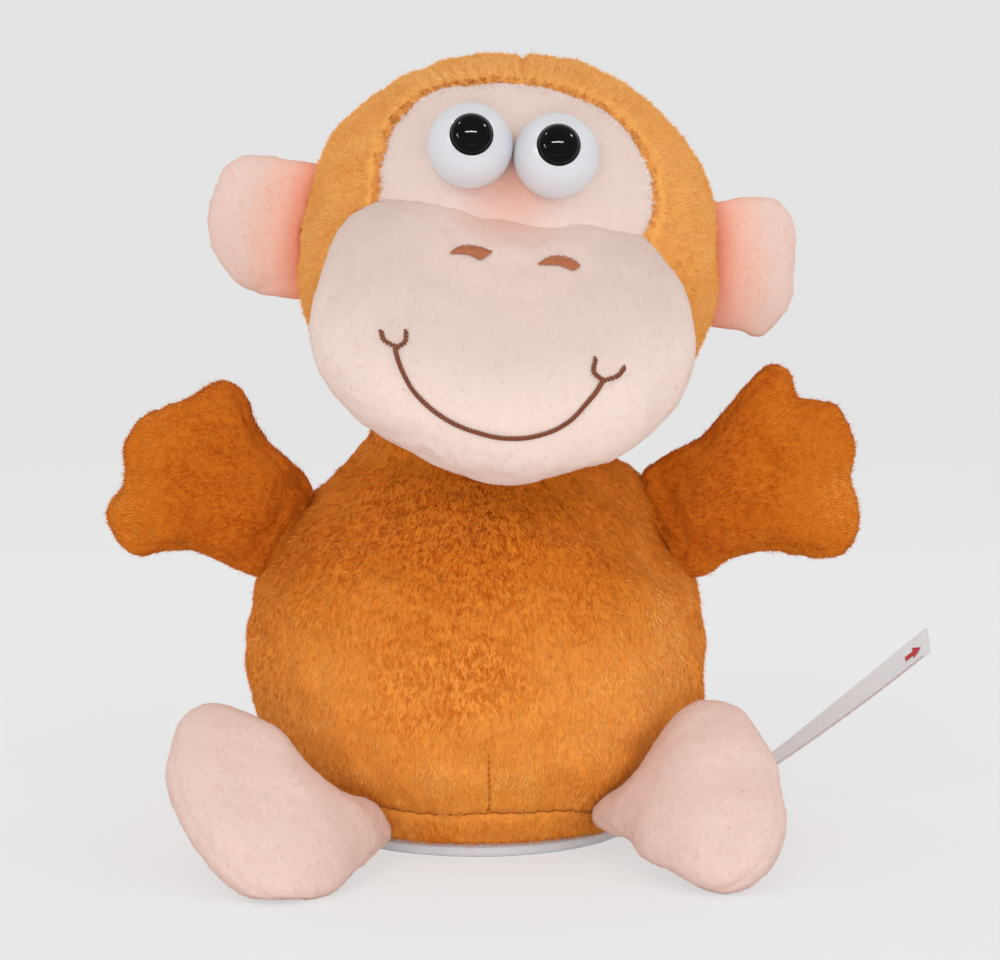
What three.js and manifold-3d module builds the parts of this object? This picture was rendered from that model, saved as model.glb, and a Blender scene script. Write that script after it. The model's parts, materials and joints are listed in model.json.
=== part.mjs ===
// A talking stuffed monkey that stands on a round plastic base and nods its head while it talks.
// Millimetres, +Z up. The toy faces -Y, +X is on the viewer's right, and left and right in names
// are the viewer's. The origin is the centre of the base on the surface that the toy stands on.

import * as THREE from 'three';
import { mergeVertices } from 'three/addons/utils/BufferGeometryUtils.js';
import Module from 'manifold-3d';

const wasm = await Module();
wasm.setup();

// Clearances
const gap = 0.3; // between pieces that touch, and around running shafts

// Cells, their contacts and the battery bay
const cellCount = 3;
const cellRadius = 5.25;
const cellLength = 44.5;
const cellPitch = 11;
const terminalRadius = 1.9;
const terminalLength = 1;
const springLength = 4;
const springRadius = 3.2;
const springWire = 0.4;
const springTurns = 3;
const contactThickness = 0.6;
const contactWidth = 8;
const bayWall = 1.5;

// Base
const baseWall = 2;
const bayCornerRoom = 0.6; // between a corner of the bay and the base's wall
const grooveDepth = 2; // the hem of the plush lies in this groove
const rimHeight = 3;
const rimRounding = 0.8;
const headroom = 1.4; // above the cells
const deckThickness = 2;
const doorThickness = 1.5;
const doorLip = 2;
const doorEarRadius = 3.6;
const doorEarHeight = 2.6;
const screwShankRadius = 1.1;
const screwHeadRadius = 2.5;
const screwHeadHeight = 1.2;
const screwLength = 7;
const bossRadius = 2.5;

// Power switch
const switchTravel = 4;
const knobLength = 4.5;
const knobWidth = 4;
const knobRecess = 0.8;
const switchLength = 17;
const switchHeight = 4.5;

// Pull tab of clear film
const tabWidth = 9;
const tabThickness = 0.4;
const tabPlaceY = 8;
const tabTwist = 30; // degrees, front edge down, at the free end
const tabClear = 0.4; // between the battery door's edge and the start of the tab
const tabRoute = [[0, 0.6], [10, 0.6], [22, 2.4], [32, 6.6], [42, 12.7], [60, 26.5], [77, 40.3]];

// Box with the speaker and the circuit board
const boxFront = 27;
const boxBack = 24;
const boxWall = 1.8;
const boxRounding = 4;
const speakerRadius = 18;
const speakerRim = 2;
const speakerDepth = 10.5;
const magnetRadius = 8;
const speakerHeight = 40;
const grilleRadius = 14.5;
const grilleSlots = 7;
const slotWidth = 1.6;
const boardMargin = 0.7; // from the board's edges to the box on one side and the gear plate on the other
const boardHeight = 36;
const boardThickness = 1.6;
const boardStandoff = 2;
const chipRadius = 5;
const chipHeight = 1.6;
const chipPlace = [-4, 6]; // from the middle of the board
const microphoneRadius = 3;
const microphoneHeight = 4;
const microphonePlace = [-6, -10];
const wireHoleRadius = 2.5;

// Nodding mechanism
const pivotHeight = 80;
const nodRange = 6; // degrees, forward and back
const pivotPinRadius = 1.5;
const plateThickness = 1.8;
const leverThickness = 3;
const leverHalfWidth = 5.5;
const hubRadius = 4;
const platesApart = 10.4; // between the inner faces of the two gear plates
const earRadius = 7;
const crankRadius = 4;
const crankPinRadius = 1.5;
const crankDiscRadius = 6.5;
const crankDiscThickness = 2.5;
const slotPlay = 0.5; // each side of the crank pin in the slot
const shaftRadius = 2;
const journalRadius = 1.5;
const gearModule = 0.6;
const gearTeeth = 36;
const pinionTeeth = 9;
const gearWidth = 3;
const gearSpacing = 0.5; // between one gear and the next along a shaft
const gearPinRadius = 0.9;
const toothPlay = 0.16;
const trainAngle = 50; // degrees below the horizontal, from the crank shaft to the compound gear
const casingRoom = 1.2; // around the gears
const postRadius = 1.6;
const motorRadius = 10;
const motorHalfWidth = 7.5;
const motorLength = 25;
const motorTail = 1; // of the end bearing and the tags
const motorRoom = 1.1; // behind the motor's tail
const motorFoot = 2.6; // from the casing's lower edge up to the motor
const motorShaftRadius = 1;
const motorBossRadius = 3;
const motorTailRadius = 2.4;
const paddleHalfWidth = 14;
const paddleBottom = 34; // above the pivot
const paddleTop = 70;
const sewingHoleRadius = 2.2;
const sewingHoleDrop = 16; // from the paddle's top to the middle hole
const sewingHoleSpread = [8, 6]; // from the middle hole to the outer ones, across and up

// Plush body: half sections from the toy's outline
const bodyFlank = [[42.5, 11.5], [48.6, 19.5], [52, 36], [49.6, 56]]; // radius and height
const shoulderFlank = [[43.5, 13], [36.5, 3], [28.6, -5]]; // radius and drop below the pivot
const hemThickness = 2.2;
const neckBallRadius = 26; // the round top of the body and the hollow of the head share the pivot
const neckGap = 0.8;
const neckInset = 1.2; // how far inside the ball's widest circle the shoulders run into it
const neckOpening = 9.5;
const bodyFacets = 32;

// Head, in its own frame: X across the face, Z up the face
const headTilt = 7.5; // degrees, to the viewer's right
const headCentre = [6.9, 3, 49.5]; // from the pivot
const headHalfWidth = 48.9;
const headHalfHeight = 46.2;
const headHalfDepth = 41;
const headSquareness = 1.86;
const headFullness = 2.2;

const muzzleOutline = [
  [0, 15.3], [15, 15.4], [28, 12], [37.5, 2], [42.8, -11], [40.5, -23], [33.4, -33.2], [18, -42.5],
  [1.5, -46.6], [-16, -42], [-33, -33], [-40.5, -22], [-40.5, -8], [-34.7, 6.6], [-24, 14.2]];
const muzzleCentre = [1, -15];
const muzzlePlace = -34; // Y of its widest section at the centre
const muzzleLean = 0.3; // how much further forward the chin is, per mm down
const muzzleFront = 22;
const muzzleBack = 22;
const muzzleChin = 7; // depth behind the widest section at the chin

const patchOutline = [
  [-29.5, 8], [-29.5, 18], [-27.5, 28], [-21.8, 35.3], [-13, 39], [0, 40.6], [12.5, 38.4], [20.5, 34],
  [26, 27], [28, 18], [27.5, 8], [0, 2]];
const patchThickness = 1.6;

const eyeRadius = 9.2;
const eyeCentres = [[-11.7, 26.2], [7, 26.4]];
const eyePlace = -37; // Y of the centres
const pupilRadius = 4.7;
const pupilHeight = 2.6;
const pupilLift = 16; // degrees above straight ahead
const stemRadius = 1.3;
const stemLength = 19;
const washerRadius = 4.5;
const washerThickness = 1.2;

const earLeftOutline = [
  [-40, 14], [-51.6, 16.6], [-62, 15.8], [-67.4, 9], [-69, -1], [-66.3, -8], [-57, -14.4], [-46, -15],
  [-40, -8]];
const earRightOutline = [
  [40, 15], [49.5, 20.4], [57, 21.2], [62.4, 16.5], [65.5, 5], [64.5, -4], [58.5, -11], [49, -9.2],
  [40, -6]];
const earThickness = 11;
const earPlace = 2;

// Arms: outlines in a plane that turns towards the viewer, as distance out and distance up
const armOrigin = [42, -3, -12]; // from the pivot
const armCentre = [22, 13];
const armTurn = 18; // degrees
const armThickness = 15;
const armLeftOutline = [
  [-7, 0], [-5, 10.5], [3.4, 18.2], [7.8, 25.5], [10.4, 32.4], [17, 34.8], [22.4, 31.2], [26, 29.6],
  [33.5, 27.7], [39, 21], [38.8, 11.8], [43.4, 4], [38.5, -2.8], [28, -3.4], [17.1, -6.7], [7.5, -10.4],
  [-4, -10]];
const armRightOutline = [
  [-7, 0], [-5, 11.5], [7.8, 20.7], [14.4, 30.1], [21, 38], [26.4, 38], [30.2, 30.6], [39.5, 29.7],
  [44.8, 20], [43.4, 13], [46, 2.5], [42.2, -4], [32, -3.8], [21.4, -5.3], [9, -9.4], [-4, -10]];

// Feet: outlines in a plane that turns to the viewer and leans back, as distance out and up
const footLeftOrigin = [-18, -54, 11.5];
const footRightOrigin = [25, -50, 11.5];
const footTurn = 20; // degrees
const footLean = 40; // degrees
const footThickness = 17;
const footLeftOutline = [
  [-0.8, 2.5], [8, 9.5], [16.5, 18], [24.5, 29.5], [33.5, 34], [41.5, 31.2], [46, 21], [46.8, 10],
  [43, 0], [36, -10.4], [26.5, -15], [17, -12.4], [7, -5.6]];
const footRightOutline = [
  [-0.5, 1.6], [7, 10], [11.5, 22], [18.5, 31.4], [27.5, 30.8], [35.5, 22.5], [41, 11], [42.9, 0],
  [39, -9.4], [31.3, -13.4], [20, -9.8], [8, -3.4]];
const footBend = 18; // how far back the narrow end turns, to the body
const footBendLength = 24;
const soleHeight = 0.3; // the feet rest on the same surface as the base

// Colours
const tan = 0xd4883a;
const cream = 0xebd9d2;
const blush = 0xf2c0ae;
const ivory = 0xefcbbf;
const eyeWhite = 0xe6e9f1;
const black = 0x0c0c0e;
const shellWhite = 0xcdcfda;
const film = 0xe9edf0;
const greyPlastic = 0x9a9ca3;
const gearWhite = 0xe8e6df;
const steel = 0xb4b7bb;
const brass = 0xc9a24a;
const boardGreen = 0x1f6b3c;
const cellBlue = 0x3f5f93;

// Places worked out from the sizes above
const cellHeight = doorThickness + gap + cellRadius;
const bayHalfLength = (cellLength + springLength + 2 * contactThickness + 5 * gap) / 2;
const bayHalfWidth = cellPitch * (cellCount - 1) / 2 + cellRadius + gap;
const baseHeight = cellHeight + cellRadius + gap + headroom;
const neckRadius = Math.hypot(bayHalfLength + bayWall, bayHalfWidth + bayWall) + bayCornerRoom + baseWall;
const rimRadius = neckRadius + grooveDepth;
const deckBottom = baseHeight + gap;
const deckTop = deckBottom + deckThickness;
const doorHalfLength = bayHalfLength + doorLip;
const doorHalfWidth = bayHalfWidth + doorLip;
const doorEarY = -doorHalfWidth;
const deckScrewX = bayHalfLength + bayWall + bossRadius + gap;
const switchPlaceY = doorHalfWidth + gap + bayWall + knobWidth / 2 + 1;

const boxBottom = deckTop + gap;
const casingBottom = boxBottom + boxWall + gap;
const axleDistance = gearModule * (gearTeeth + pinionTeeth) / 2;
const trainSlope = THREE.MathUtils.degToRad(trainAngle);
const stepBack = axleDistance * Math.cos(trainSlope);
const stepDown = axleDistance * Math.sin(trainSlope);
const motorHeight = casingBottom + motorFoot + motorRadius;
const compoundHeight = motorHeight + stepDown;
const crankHeight = compoundHeight + stepDown;
const crankDrop = pivotHeight - crankHeight;
const gearTip = gearModule * (gearTeeth / 2 + 0.8);
const innerFace = platesApart / 2;
const outerFace = innerFace + plateThickness;
const firstGearX = outerFace + gearSpacing;
const secondGearX = firstGearX + gearWidth + gearSpacing;
const coverFace = secondGearX + gearWidth + gearSpacing;
const coverOutside = coverFace + plateThickness;
const casingTop = crankHeight + gearTip + casingRoom;
const casingBack = stepBack + gearTip + casingRoom;
const casingFront = -(gearTip + casingRoom);
const motorFront = innerFace - gap;
const boxHalfWidth = motorLength + motorTail - motorFront + motorRoom + boxWall;
const boxTop = casingTop + gap + boxWall;
const speakerFront = -(boxFront - boxWall - gap);
const boardFace = boxBack - boxWall - boardStandoff;
const boardLeft = -(boxHalfWidth - boxWall - boardMargin);
const boardWidth = innerFace - boardMargin - boardLeft;
const headHeight = pivotHeight + headCentre[2];
const discFace = leverThickness / 2 + 0.7;

// Joins and cuts closed shapes

function toSolid(geometry) {
  const bare = geometry.clone();
  bare.deleteAttribute('normal');
  bare.deleteAttribute('uv');
  const merged = mergeVertices(bare, 1e-4);
  const corners = Array.from(merged.index.array);
  const faces = [];
  for (let i = 0; i < corners.length; i += 3) {
    const [a, b, c] = corners.slice(i, i + 3);
    if (a !== b && b !== c && c !== a) faces.push(a, b, c);
  }
  const place = merged.attributes.position;
  let volume = 0;
  const points = [0, 1, 2].map(() => new THREE.Vector3());
  for (let i = 0; i < faces.length; i += 3) {
    points.forEach((point, k) => point.fromBufferAttribute(place, faces[i + k]));
    volume += points[0].dot(points[1].cross(points[2]));
  }
  if (volume < 0) faces.reverse();
  return new wasm.Manifold(new wasm.Mesh({
    numProp: 3,
    vertProperties: Float32Array.from(place.array),
    triVerts: Uint32Array.from(faces),
  }));
}

function toGeometry(solid) {
  const { vertProperties, triVerts } = solid.getMesh();
  const geometry = new THREE.BufferGeometry();
  geometry.setAttribute('position', new THREE.BufferAttribute(vertProperties, 3));
  geometry.setIndex(new THREE.BufferAttribute(triVerts, 1));
  geometry.computeVertexNormals();
  return geometry;
}

function join(...solids) {
  return solids.reduce((whole, piece) => whole.add(piece));
}

function cut(solid, ...cutters) {
  return cutters.reduce((rest, cutter) => rest.subtract(cutter), solid);
}

function placed(geometry, matrix) {
  return toSolid(geometry.clone().applyMatrix4(matrix));
}

// Basic shapes, given by where they start and end

function block(fromX, toX, fromY, toY, fromZ, toZ) {
  const geometry = new THREE.BoxGeometry(toX - fromX, toY - fromY, toZ - fromZ);
  geometry.translate((fromX + toX) / 2, (fromY + toY) / 2, (fromZ + toZ) / 2);
  return toSolid(geometry);
}

function rod(axis, radius, from, to, u = 0, v = 0, facets = 24, endRadius = radius) {
  const geometry = new THREE.CylinderGeometry(endRadius, radius, to - from, facets);
  const middle = (from + to) / 2;
  if (axis === 'x') geometry.rotateZ(-Math.PI / 2).translate(middle, u, v);
  if (axis === 'y') geometry.translate(u, middle, v);
  if (axis === 'z') geometry.rotateX(Math.PI / 2).translate(u, v, middle);
  return toSolid(geometry);
}

function plate(axis, shape, from, to, facets = 6) {
  const geometry = new THREE.ExtrudeGeometry(shape, {
    depth: to - from, bevelEnabled: false, curveSegments: facets });
  if (axis === 'x') {
    const turn = new THREE.Matrix4().set(0, 0, 1, from, 1, 0, 0, 0, 0, 1, 0, 0, 0, 0, 0, 1);
    geometry.applyMatrix4(turn);
  }
  if (axis === 'y') geometry.rotateX(Math.PI / 2).translate(0, to, 0);
  if (axis === 'z') geometry.translate(0, 0, from);
  return toSolid(geometry);
}

function turned(profile, facets) {
  const points = profile.map(([radius, height]) => new THREE.Vector2(radius, height));
  return toSolid(new THREE.LatheGeometry(points, facets).rotateX(Math.PI / 2));
}

function roundedRectangle(fromU, toU, fromV, toV, radius) {
  const shape = new THREE.Shape();
  shape.moveTo(fromU + radius, fromV);
  shape.lineTo(toU - radius, fromV);
  shape.absarc(toU - radius, fromV + radius, radius, -Math.PI / 2, 0);
  shape.lineTo(toU, toV - radius);
  shape.absarc(toU - radius, toV - radius, radius, 0, Math.PI / 2);
  shape.lineTo(fromU + radius, toV);
  shape.absarc(fromU + radius, toV - radius, radius, Math.PI / 2, Math.PI);
  shape.lineTo(fromU, fromV + radius);
  shape.absarc(fromU + radius, fromV + radius, radius, Math.PI, 1.5 * Math.PI);
  return shape;
}

// A closed skin through rings that all have the same number of points
function loft(rings) {
  const count = rings[0].length;
  const positions = rings.flat().flatMap((point) => point.toArray());
  const faces = [];
  for (let i = 0; i + 1 < rings.length; i += 1) {
    for (let j = 0; j < count; j += 1) {
      const next = (j + 1) % count;
      const [a, b] = [i * count + j, i * count + next];
      faces.push(a, b, b + count, a, b + count, a + count);
    }
  }
  const ends = [0, rings.length - 1];
  for (const end of ends) {
    const middle = new THREE.Vector3();
    rings[end].forEach((point) => middle.addScaledVector(point, 1 / count));
    const hub = positions.length / 3;
    positions.push(...middle.toArray());
    for (let j = 0; j < count; j += 1) {
      const [a, b] = [end * count + j, end * count + (j + 1) % count];
      faces.push(...(end === 0 ? [hub, b, a] : [hub, a, b]));
    }
  }
  const geometry = new THREE.BufferGeometry();
  geometry.setAttribute('position', new THREE.Float32BufferAttribute(positions, 3));
  geometry.setIndex(faces);
  return geometry;
}

// A stuffed form: an outline in the XZ plane that swells towards -Y and +Y
function smoothOutline(points, count) {
  const corners = points.map(([u, v]) => new THREE.Vector3(u, v, 0));
  return new THREE.CatmullRomCurve3(corners, true, 'centripetal').getPoints(count).slice(0, count);
}

function stuffed({ outline, centre, front, back, grow = 0, count = 32, fullness = 2.2, plane = () => 0 }) {
  const rim = smoothOutline(outline, count);
  const shares = [0.4, 0.7, 0.88, 0.97];
  const [middleU, middleV] = centre;
  const ringAt = (share, side) => rim.map((point) => {
    const [u, v] = [point.x - middleU, point.y - middleV];
    const reach = 1 + grow / Math.hypot(u, v);
    const [x, z] = [middleU + u * share * reach, middleV + v * share * reach];
    const depth = side < 0 ? front : back;
    const size = (typeof depth === 'function' ? depth(z) : depth) + grow;
    const swell = size * (1 - share ** fullness) ** (1 / fullness);
    return new THREE.Vector3(x, plane(x, z) + side * swell, z);
  });
  const rings = [
    ...shares.map((share) => ringAt(share, -1)),
    ringAt(1, 1),
    ...shares.map((share) => ringAt(share, 1)).reverse()];
  return loft(rings);
}

function gearOutline(teeth, toothAngle) {
  const pitch = gearModule * teeth / 2;
  const pressure = THREE.MathUtils.degToRad(20);
  const baseCircle = pitch * Math.cos(pressure);
  const root = pitch - 1.15 * gearModule;
  const tip = pitch + 0.8 * gearModule;
  const involute = (radius) => {
    const angle = Math.acos(Math.min(1, baseCircle / radius));
    return Math.tan(angle) - angle;
  };
  const halfTooth = (radius) => Math.PI / (2 * teeth) + involute(pitch) - involute(radius)
    - toothPlay / (2 * pitch);
  const flank = [[Math.max(root, baseCircle), halfTooth(baseCircle)], [tip, halfTooth(tip)]];
  if (baseCircle > root + gearModule / 3) {
    flank.splice(1, 0, [pitch, halfTooth(pitch)]);
    flank.unshift([root, halfTooth(baseCircle) * 0.75]);
  } else {
    flank[0][0] = root;
  }
  const shape = new THREE.Shape();
  for (let tooth = 0; tooth < teeth; tooth += 1) {
    const middle = toothAngle + tooth * 2 * Math.PI / teeth;
    const rise = flank.map(([radius, half]) => [radius, middle - half]);
    const fall = flank.map(([radius, half]) => [radius, middle + half]).reverse();
    for (const [radius, angle] of [...rise, ...fall]) {
      const [u, v] = [radius * Math.cos(angle), radius * Math.sin(angle)];
      if (shape.curves.length === 0 && shape.currentPoint.lengthSq() === 0) shape.moveTo(u, v);
      else shape.lineTo(u, v);
    }
  }
  return shape;
}

const model = new THREE.Group();

function add(parent, name, solid, color, roughness = 0.6, metalness = 0) {
  const geometry = solid.isBufferGeometry ? solid : toGeometry(solid);
  const material = new THREE.MeshStandardMaterial({ color, roughness, metalness });
  const mesh = new THREE.Mesh(geometry, material);
  mesh.name = name;
  parent.add(mesh);
  return mesh;
}

// Base: rim, groove for the hem, battery bay, switch slot and screw bosses

function makeBaseShell() {
  const r = rimRounding;
  const side = [
    [0, 0], [rimRadius - r, 0], [rimRadius - r * 0.3, r * 0.3], [rimRadius, r],
    [rimRadius, rimHeight - r], [rimRadius - r, rimHeight],
    [neckRadius, rimHeight], [neckRadius, baseHeight], [neckRadius - baseWall, baseHeight],
    [neckRadius - baseWall, rimHeight], [0, rimHeight]];
  const bay = (grow, fromZ, toZ) => block(
    -bayHalfLength - grow, bayHalfLength + grow, -bayHalfWidth - grow, bayHalfWidth + grow, fromZ, toZ);
  const boss = (x) => rod('z', bossRadius, rimHeight / 2, baseHeight, x, 0, 16);
  const pilot = (x) => rod('z', screwShankRadius + gap, rimHeight, baseHeight + 1, x, 0, 12);
  const doorRecess = block(
    -doorHalfLength - gap, doorHalfLength + gap, -doorHalfWidth - gap, doorHalfWidth + gap,
    -1, doorThickness + gap);
  const earRecess = rod('z', doorEarRadius + gap, -1, doorEarHeight + gap, 0, doorEarY, 20);
  const earBoss = rod('z', doorEarRadius + 1.5, rimHeight / 2, screwLength + rimHeight, 0, doorEarY, 20);
  const earPilot = rod('z', screwShankRadius + gap, 0, screwLength + rimHeight + 1, 0, doorEarY, 12);
  const slotHalf = (switchTravel + knobLength) / 2 + gap;
  const switchSlot = block(
    -slotHalf, slotHalf, switchPlaceY - knobWidth / 2 - gap, switchPlaceY + knobWidth / 2 + gap,
    -1, rimHeight + 1);
  const tabGroove = block(
    doorHalfLength, rimRadius + 1, tabPlaceY - tabWidth / 2 - gap, tabPlaceY + tabWidth / 2 + gap,
    -1, tabRoute[0][1] + tabThickness / 2 + gap);
  const switchPost = (side) => block(
    side * (switchLength / 2 - 1) - 1, side * (switchLength / 2 - 1) + 1,
    switchPlaceY - 1.5, switchPlaceY + 1.5, rimHeight / 2, switchSeat() - gap);
  const shell = join(turned(side, 36), bay(bayWall, rimHeight / 2, baseHeight),
    boss(-deckScrewX), boss(deckScrewX), earBoss, switchPost(-1), switchPost(1));
  return cut(shell, bay(0, -1, baseHeight + 1), doorRecess, earRecess, earPilot, switchSlot,
    tabGroove, pilot(-deckScrewX), pilot(deckScrewX));
}

function switchSeat() {
  return knobRecess + rimHeight + 2;
}

function makeScrew(length) {
  const shank = rod('z', screwShankRadius, screwHeadHeight / 2, length, 0, 0, 8);
  const head = rod('z', screwHeadRadius, 0, screwHeadHeight, 0, 0, 12, screwHeadRadius * 0.8);
  const slotHalf = screwHeadRadius * 0.6;
  const slot = block(-slotHalf, slotHalf, -0.3, 0.3, -1, screwHeadHeight / 3);
  return cut(join(shank, head), slot);
}

function makeDeck() {
  const radius = neckRadius - gap;
  const disc = rod('z', radius, deckBottom, deckTop, 0, 0, 36);
  const screwHole = (x) => join(
    rod('z', screwShankRadius + gap, deckBottom - 1, deckTop + 1, x, 0, 12),
    rod('z', screwHeadRadius + gap, deckTop - screwHeadHeight - gap, deckTop + 1, x, 0, 16));
  const wireHole = rod('z', wireHoleRadius, deckBottom - 1, deckTop + 1, 0, switchPlaceY + 1, 12);
  return cut(disc, screwHole(-deckScrewX), screwHole(deckScrewX), wireHole);
}

function makeDoor() {
  const panel = plate('z', roundedRectangle(
    -doorHalfLength, doorHalfLength, -doorHalfWidth, doorHalfWidth, 1), 0, doorThickness, 3);
  const ear = rod('z', doorEarRadius, 0, doorEarHeight, 0, doorEarY, 20);
  const counterbore = rod('z', screwHeadRadius + gap, -1, screwHeadHeight + gap, 0, doorEarY, 16);
  const hole = rod('z', screwShankRadius + gap, -1, doorEarHeight + 1, 0, doorEarY, 12);
  const grips = [-2, -1, 0, 1, 2].map((i) => block(
    -6 - 0.4, 6, doorHalfWidth - 6 + i * 1.6 - 0.4, doorHalfWidth - 6 + i * 1.6 + 0.4, -1, 0.5));
  return cut(join(panel, ear), counterbore, hole, ...grips);
}

function makeSpring() {
  const sides = 5;
  const steps = springTurns * 8;
  const length = springLength - 2 * springWire;
  const rings = [];
  for (let step = 0; step <= steps; step += 1) {
    const share = step / steps;
    const turn = share * springTurns * 2 * Math.PI;
    const radius = (springRadius - springWire) * (1 - 0.45 * share);
    const outward = new THREE.Vector3(0, Math.cos(turn), Math.sin(turn));
    const middle = outward.clone().multiplyScalar(radius);
    middle.x = springWire + share * length;
    rings.push(Array.from({ length: sides }, (_, k) => {
      const angle = k * 2 * Math.PI / sides;
      return middle.clone().addScaledVector(outward, springWire * Math.cos(angle))
        .add(new THREE.Vector3(springWire * Math.sin(angle), 0, 0));
    }));
  }
  return toSolid(loft(rings));
}

function buildBase() {
  const group = new THREE.Group();
  model.add(group);
  add(group, 'base_shell', makeBaseShell(), shellWhite, 0.35);
  add(group, 'base_deck', makeDeck(), shellWhite, 0.45);
  add(group, 'battery_door', makeDoor(), shellWhite, 0.4);
  add(group, 'door_screw', makeScrew(screwLength), steel, 0.3, 0.9)
    .position.set(0, doorEarY, gap);
  for (const [name, side] of [['deck_screw_left', -1], ['deck_screw_right', 1]]) {
    const screw = add(group, name, makeScrew(screwLength), steel, 0.3, 0.9);
    screw.rotation.x = Math.PI;
    screw.position.set(side * deckScrewX, 0, deckTop);
  }
  const body = join(
    rod('x', cellRadius, 0, cellLength - terminalLength, 0, 0, 20),
    rod('x', terminalRadius, cellLength - terminalLength - 1, cellLength, 0, 0, 12));
  const spring = makeSpring();
  const contactFace = bayHalfLength - gap - contactThickness;
  for (let i = 0; i < cellCount; i += 1) {
    const side = i % 2 === 0 ? 1 : -1; // the positive end points to +X on every other cell
    const y = (i - (cellCount - 1) / 2) * cellPitch;
    const cell = add(group, `battery_${i + 1}`, body, cellBlue, 0.35, 0.3);
    cell.position.set(side * (contactFace - gap - cellLength), y, cellHeight);
    const coil = add(group, `contact_spring_${i + 1}`, spring, steel, 0.3, 0.9);
    coil.position.set(-side * (contactFace - gap), y, cellHeight);
    if (side < 0) {
      cell.rotation.z = Math.PI;
      coil.rotation.z = Math.PI;
    }
  }
  const contact = (side, fromY, toY) => block(
    side * (contactFace + contactThickness / 2) - contactThickness / 2,
    side * (contactFace + contactThickness / 2) + contactThickness / 2,
    fromY - contactWidth / 2, toY + contactWidth / 2,
    cellHeight - contactWidth / 2, cellHeight + contactWidth / 2);
  add(group, 'contact_plate_1', contact(-1, -cellPitch, -cellPitch), steel, 0.3, 0.9);
  add(group, 'contact_plate_2', contact(1, -cellPitch, 0), steel, 0.3, 0.9);
  add(group, 'contact_plate_3', contact(-1, 0, cellPitch), steel, 0.3, 0.9);
  add(group, 'contact_plate_4', contact(1, cellPitch, cellPitch), steel, 0.3, 0.9);
}

function buildSwitch() {
  const group = new THREE.Group();
  group.position.set(0, switchPlaceY, 0);
  model.add(group);
  const seat = switchSeat();
  const stemHalf = knobLength / 4;
  const stemReach = switchTravel / 2 + stemHalf + gap;
  const housing = block(-switchLength / 2, switchLength / 2, -knobWidth / 2 - 1, knobWidth / 2 + 1,
    seat, seat + switchHeight);
  const channel = block(-stemReach, stemReach, -knobWidth / 4 - gap, knobWidth / 4 + gap,
    seat - 1, seat + 2);
  add(group, 'switch_body', cut(housing, channel), greyPlastic, 0.4, 0.5);
  const grip = block(-knobLength / 2, knobLength / 2, -knobWidth / 2, knobWidth / 2,
    knobRecess, seat - gap);
  const stem = block(-stemHalf, stemHalf, -knobWidth / 4, knobWidth / 4, seat - 1, seat + 2 - gap);
  const ridges = [-1, 0, 1].map((i) => block(
    i * 1.2 - 0.25, i * 1.2 + 0.25, -knobWidth, knobWidth, 0, knobRecess + 0.4));
  const knob = add(group, 'switch_knob', cut(join(grip, stem), ...ridges), black, 0.5);
  knob.position.x = -switchTravel / 2;
}

function buildPullTab() {
  const start = doorHalfLength + tabClear;
  const corners = tabRoute.map(([out, z]) => new THREE.Vector3(start + out, tabPlaceY, z));
  const route = new THREE.CatmullRomCurve3(corners, false, 'centripetal');
  const steps = 16;
  const rings = [];
  for (let step = 0; step <= steps; step += 1) {
    const share = step / steps;
    const middle = route.getPointAt(share);
    const along = route.getTangentAt(share);
    const free = THREE.MathUtils.smoothstep(share, 0.2, 1);
    const twist = THREE.MathUtils.degToRad(tabTwist) * free;
    const across = new THREE.Vector3(0, Math.cos(twist), Math.sin(twist));
    const normal = new THREE.Vector3().crossVectors(across, along).normalize();
    rings.push([[1, 1], [1, -1], [-1, -1], [-1, 1]].map(([u, v]) => middle.clone()
      .addScaledVector(across, u * tabWidth / 2).addScaledVector(normal, v * tabThickness / 2)));
  }
  add(model, 'pull_tab', toSolid(loft(rings)), film, 0.15);
}

// Box around the mechanism, in a front and a back half

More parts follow.
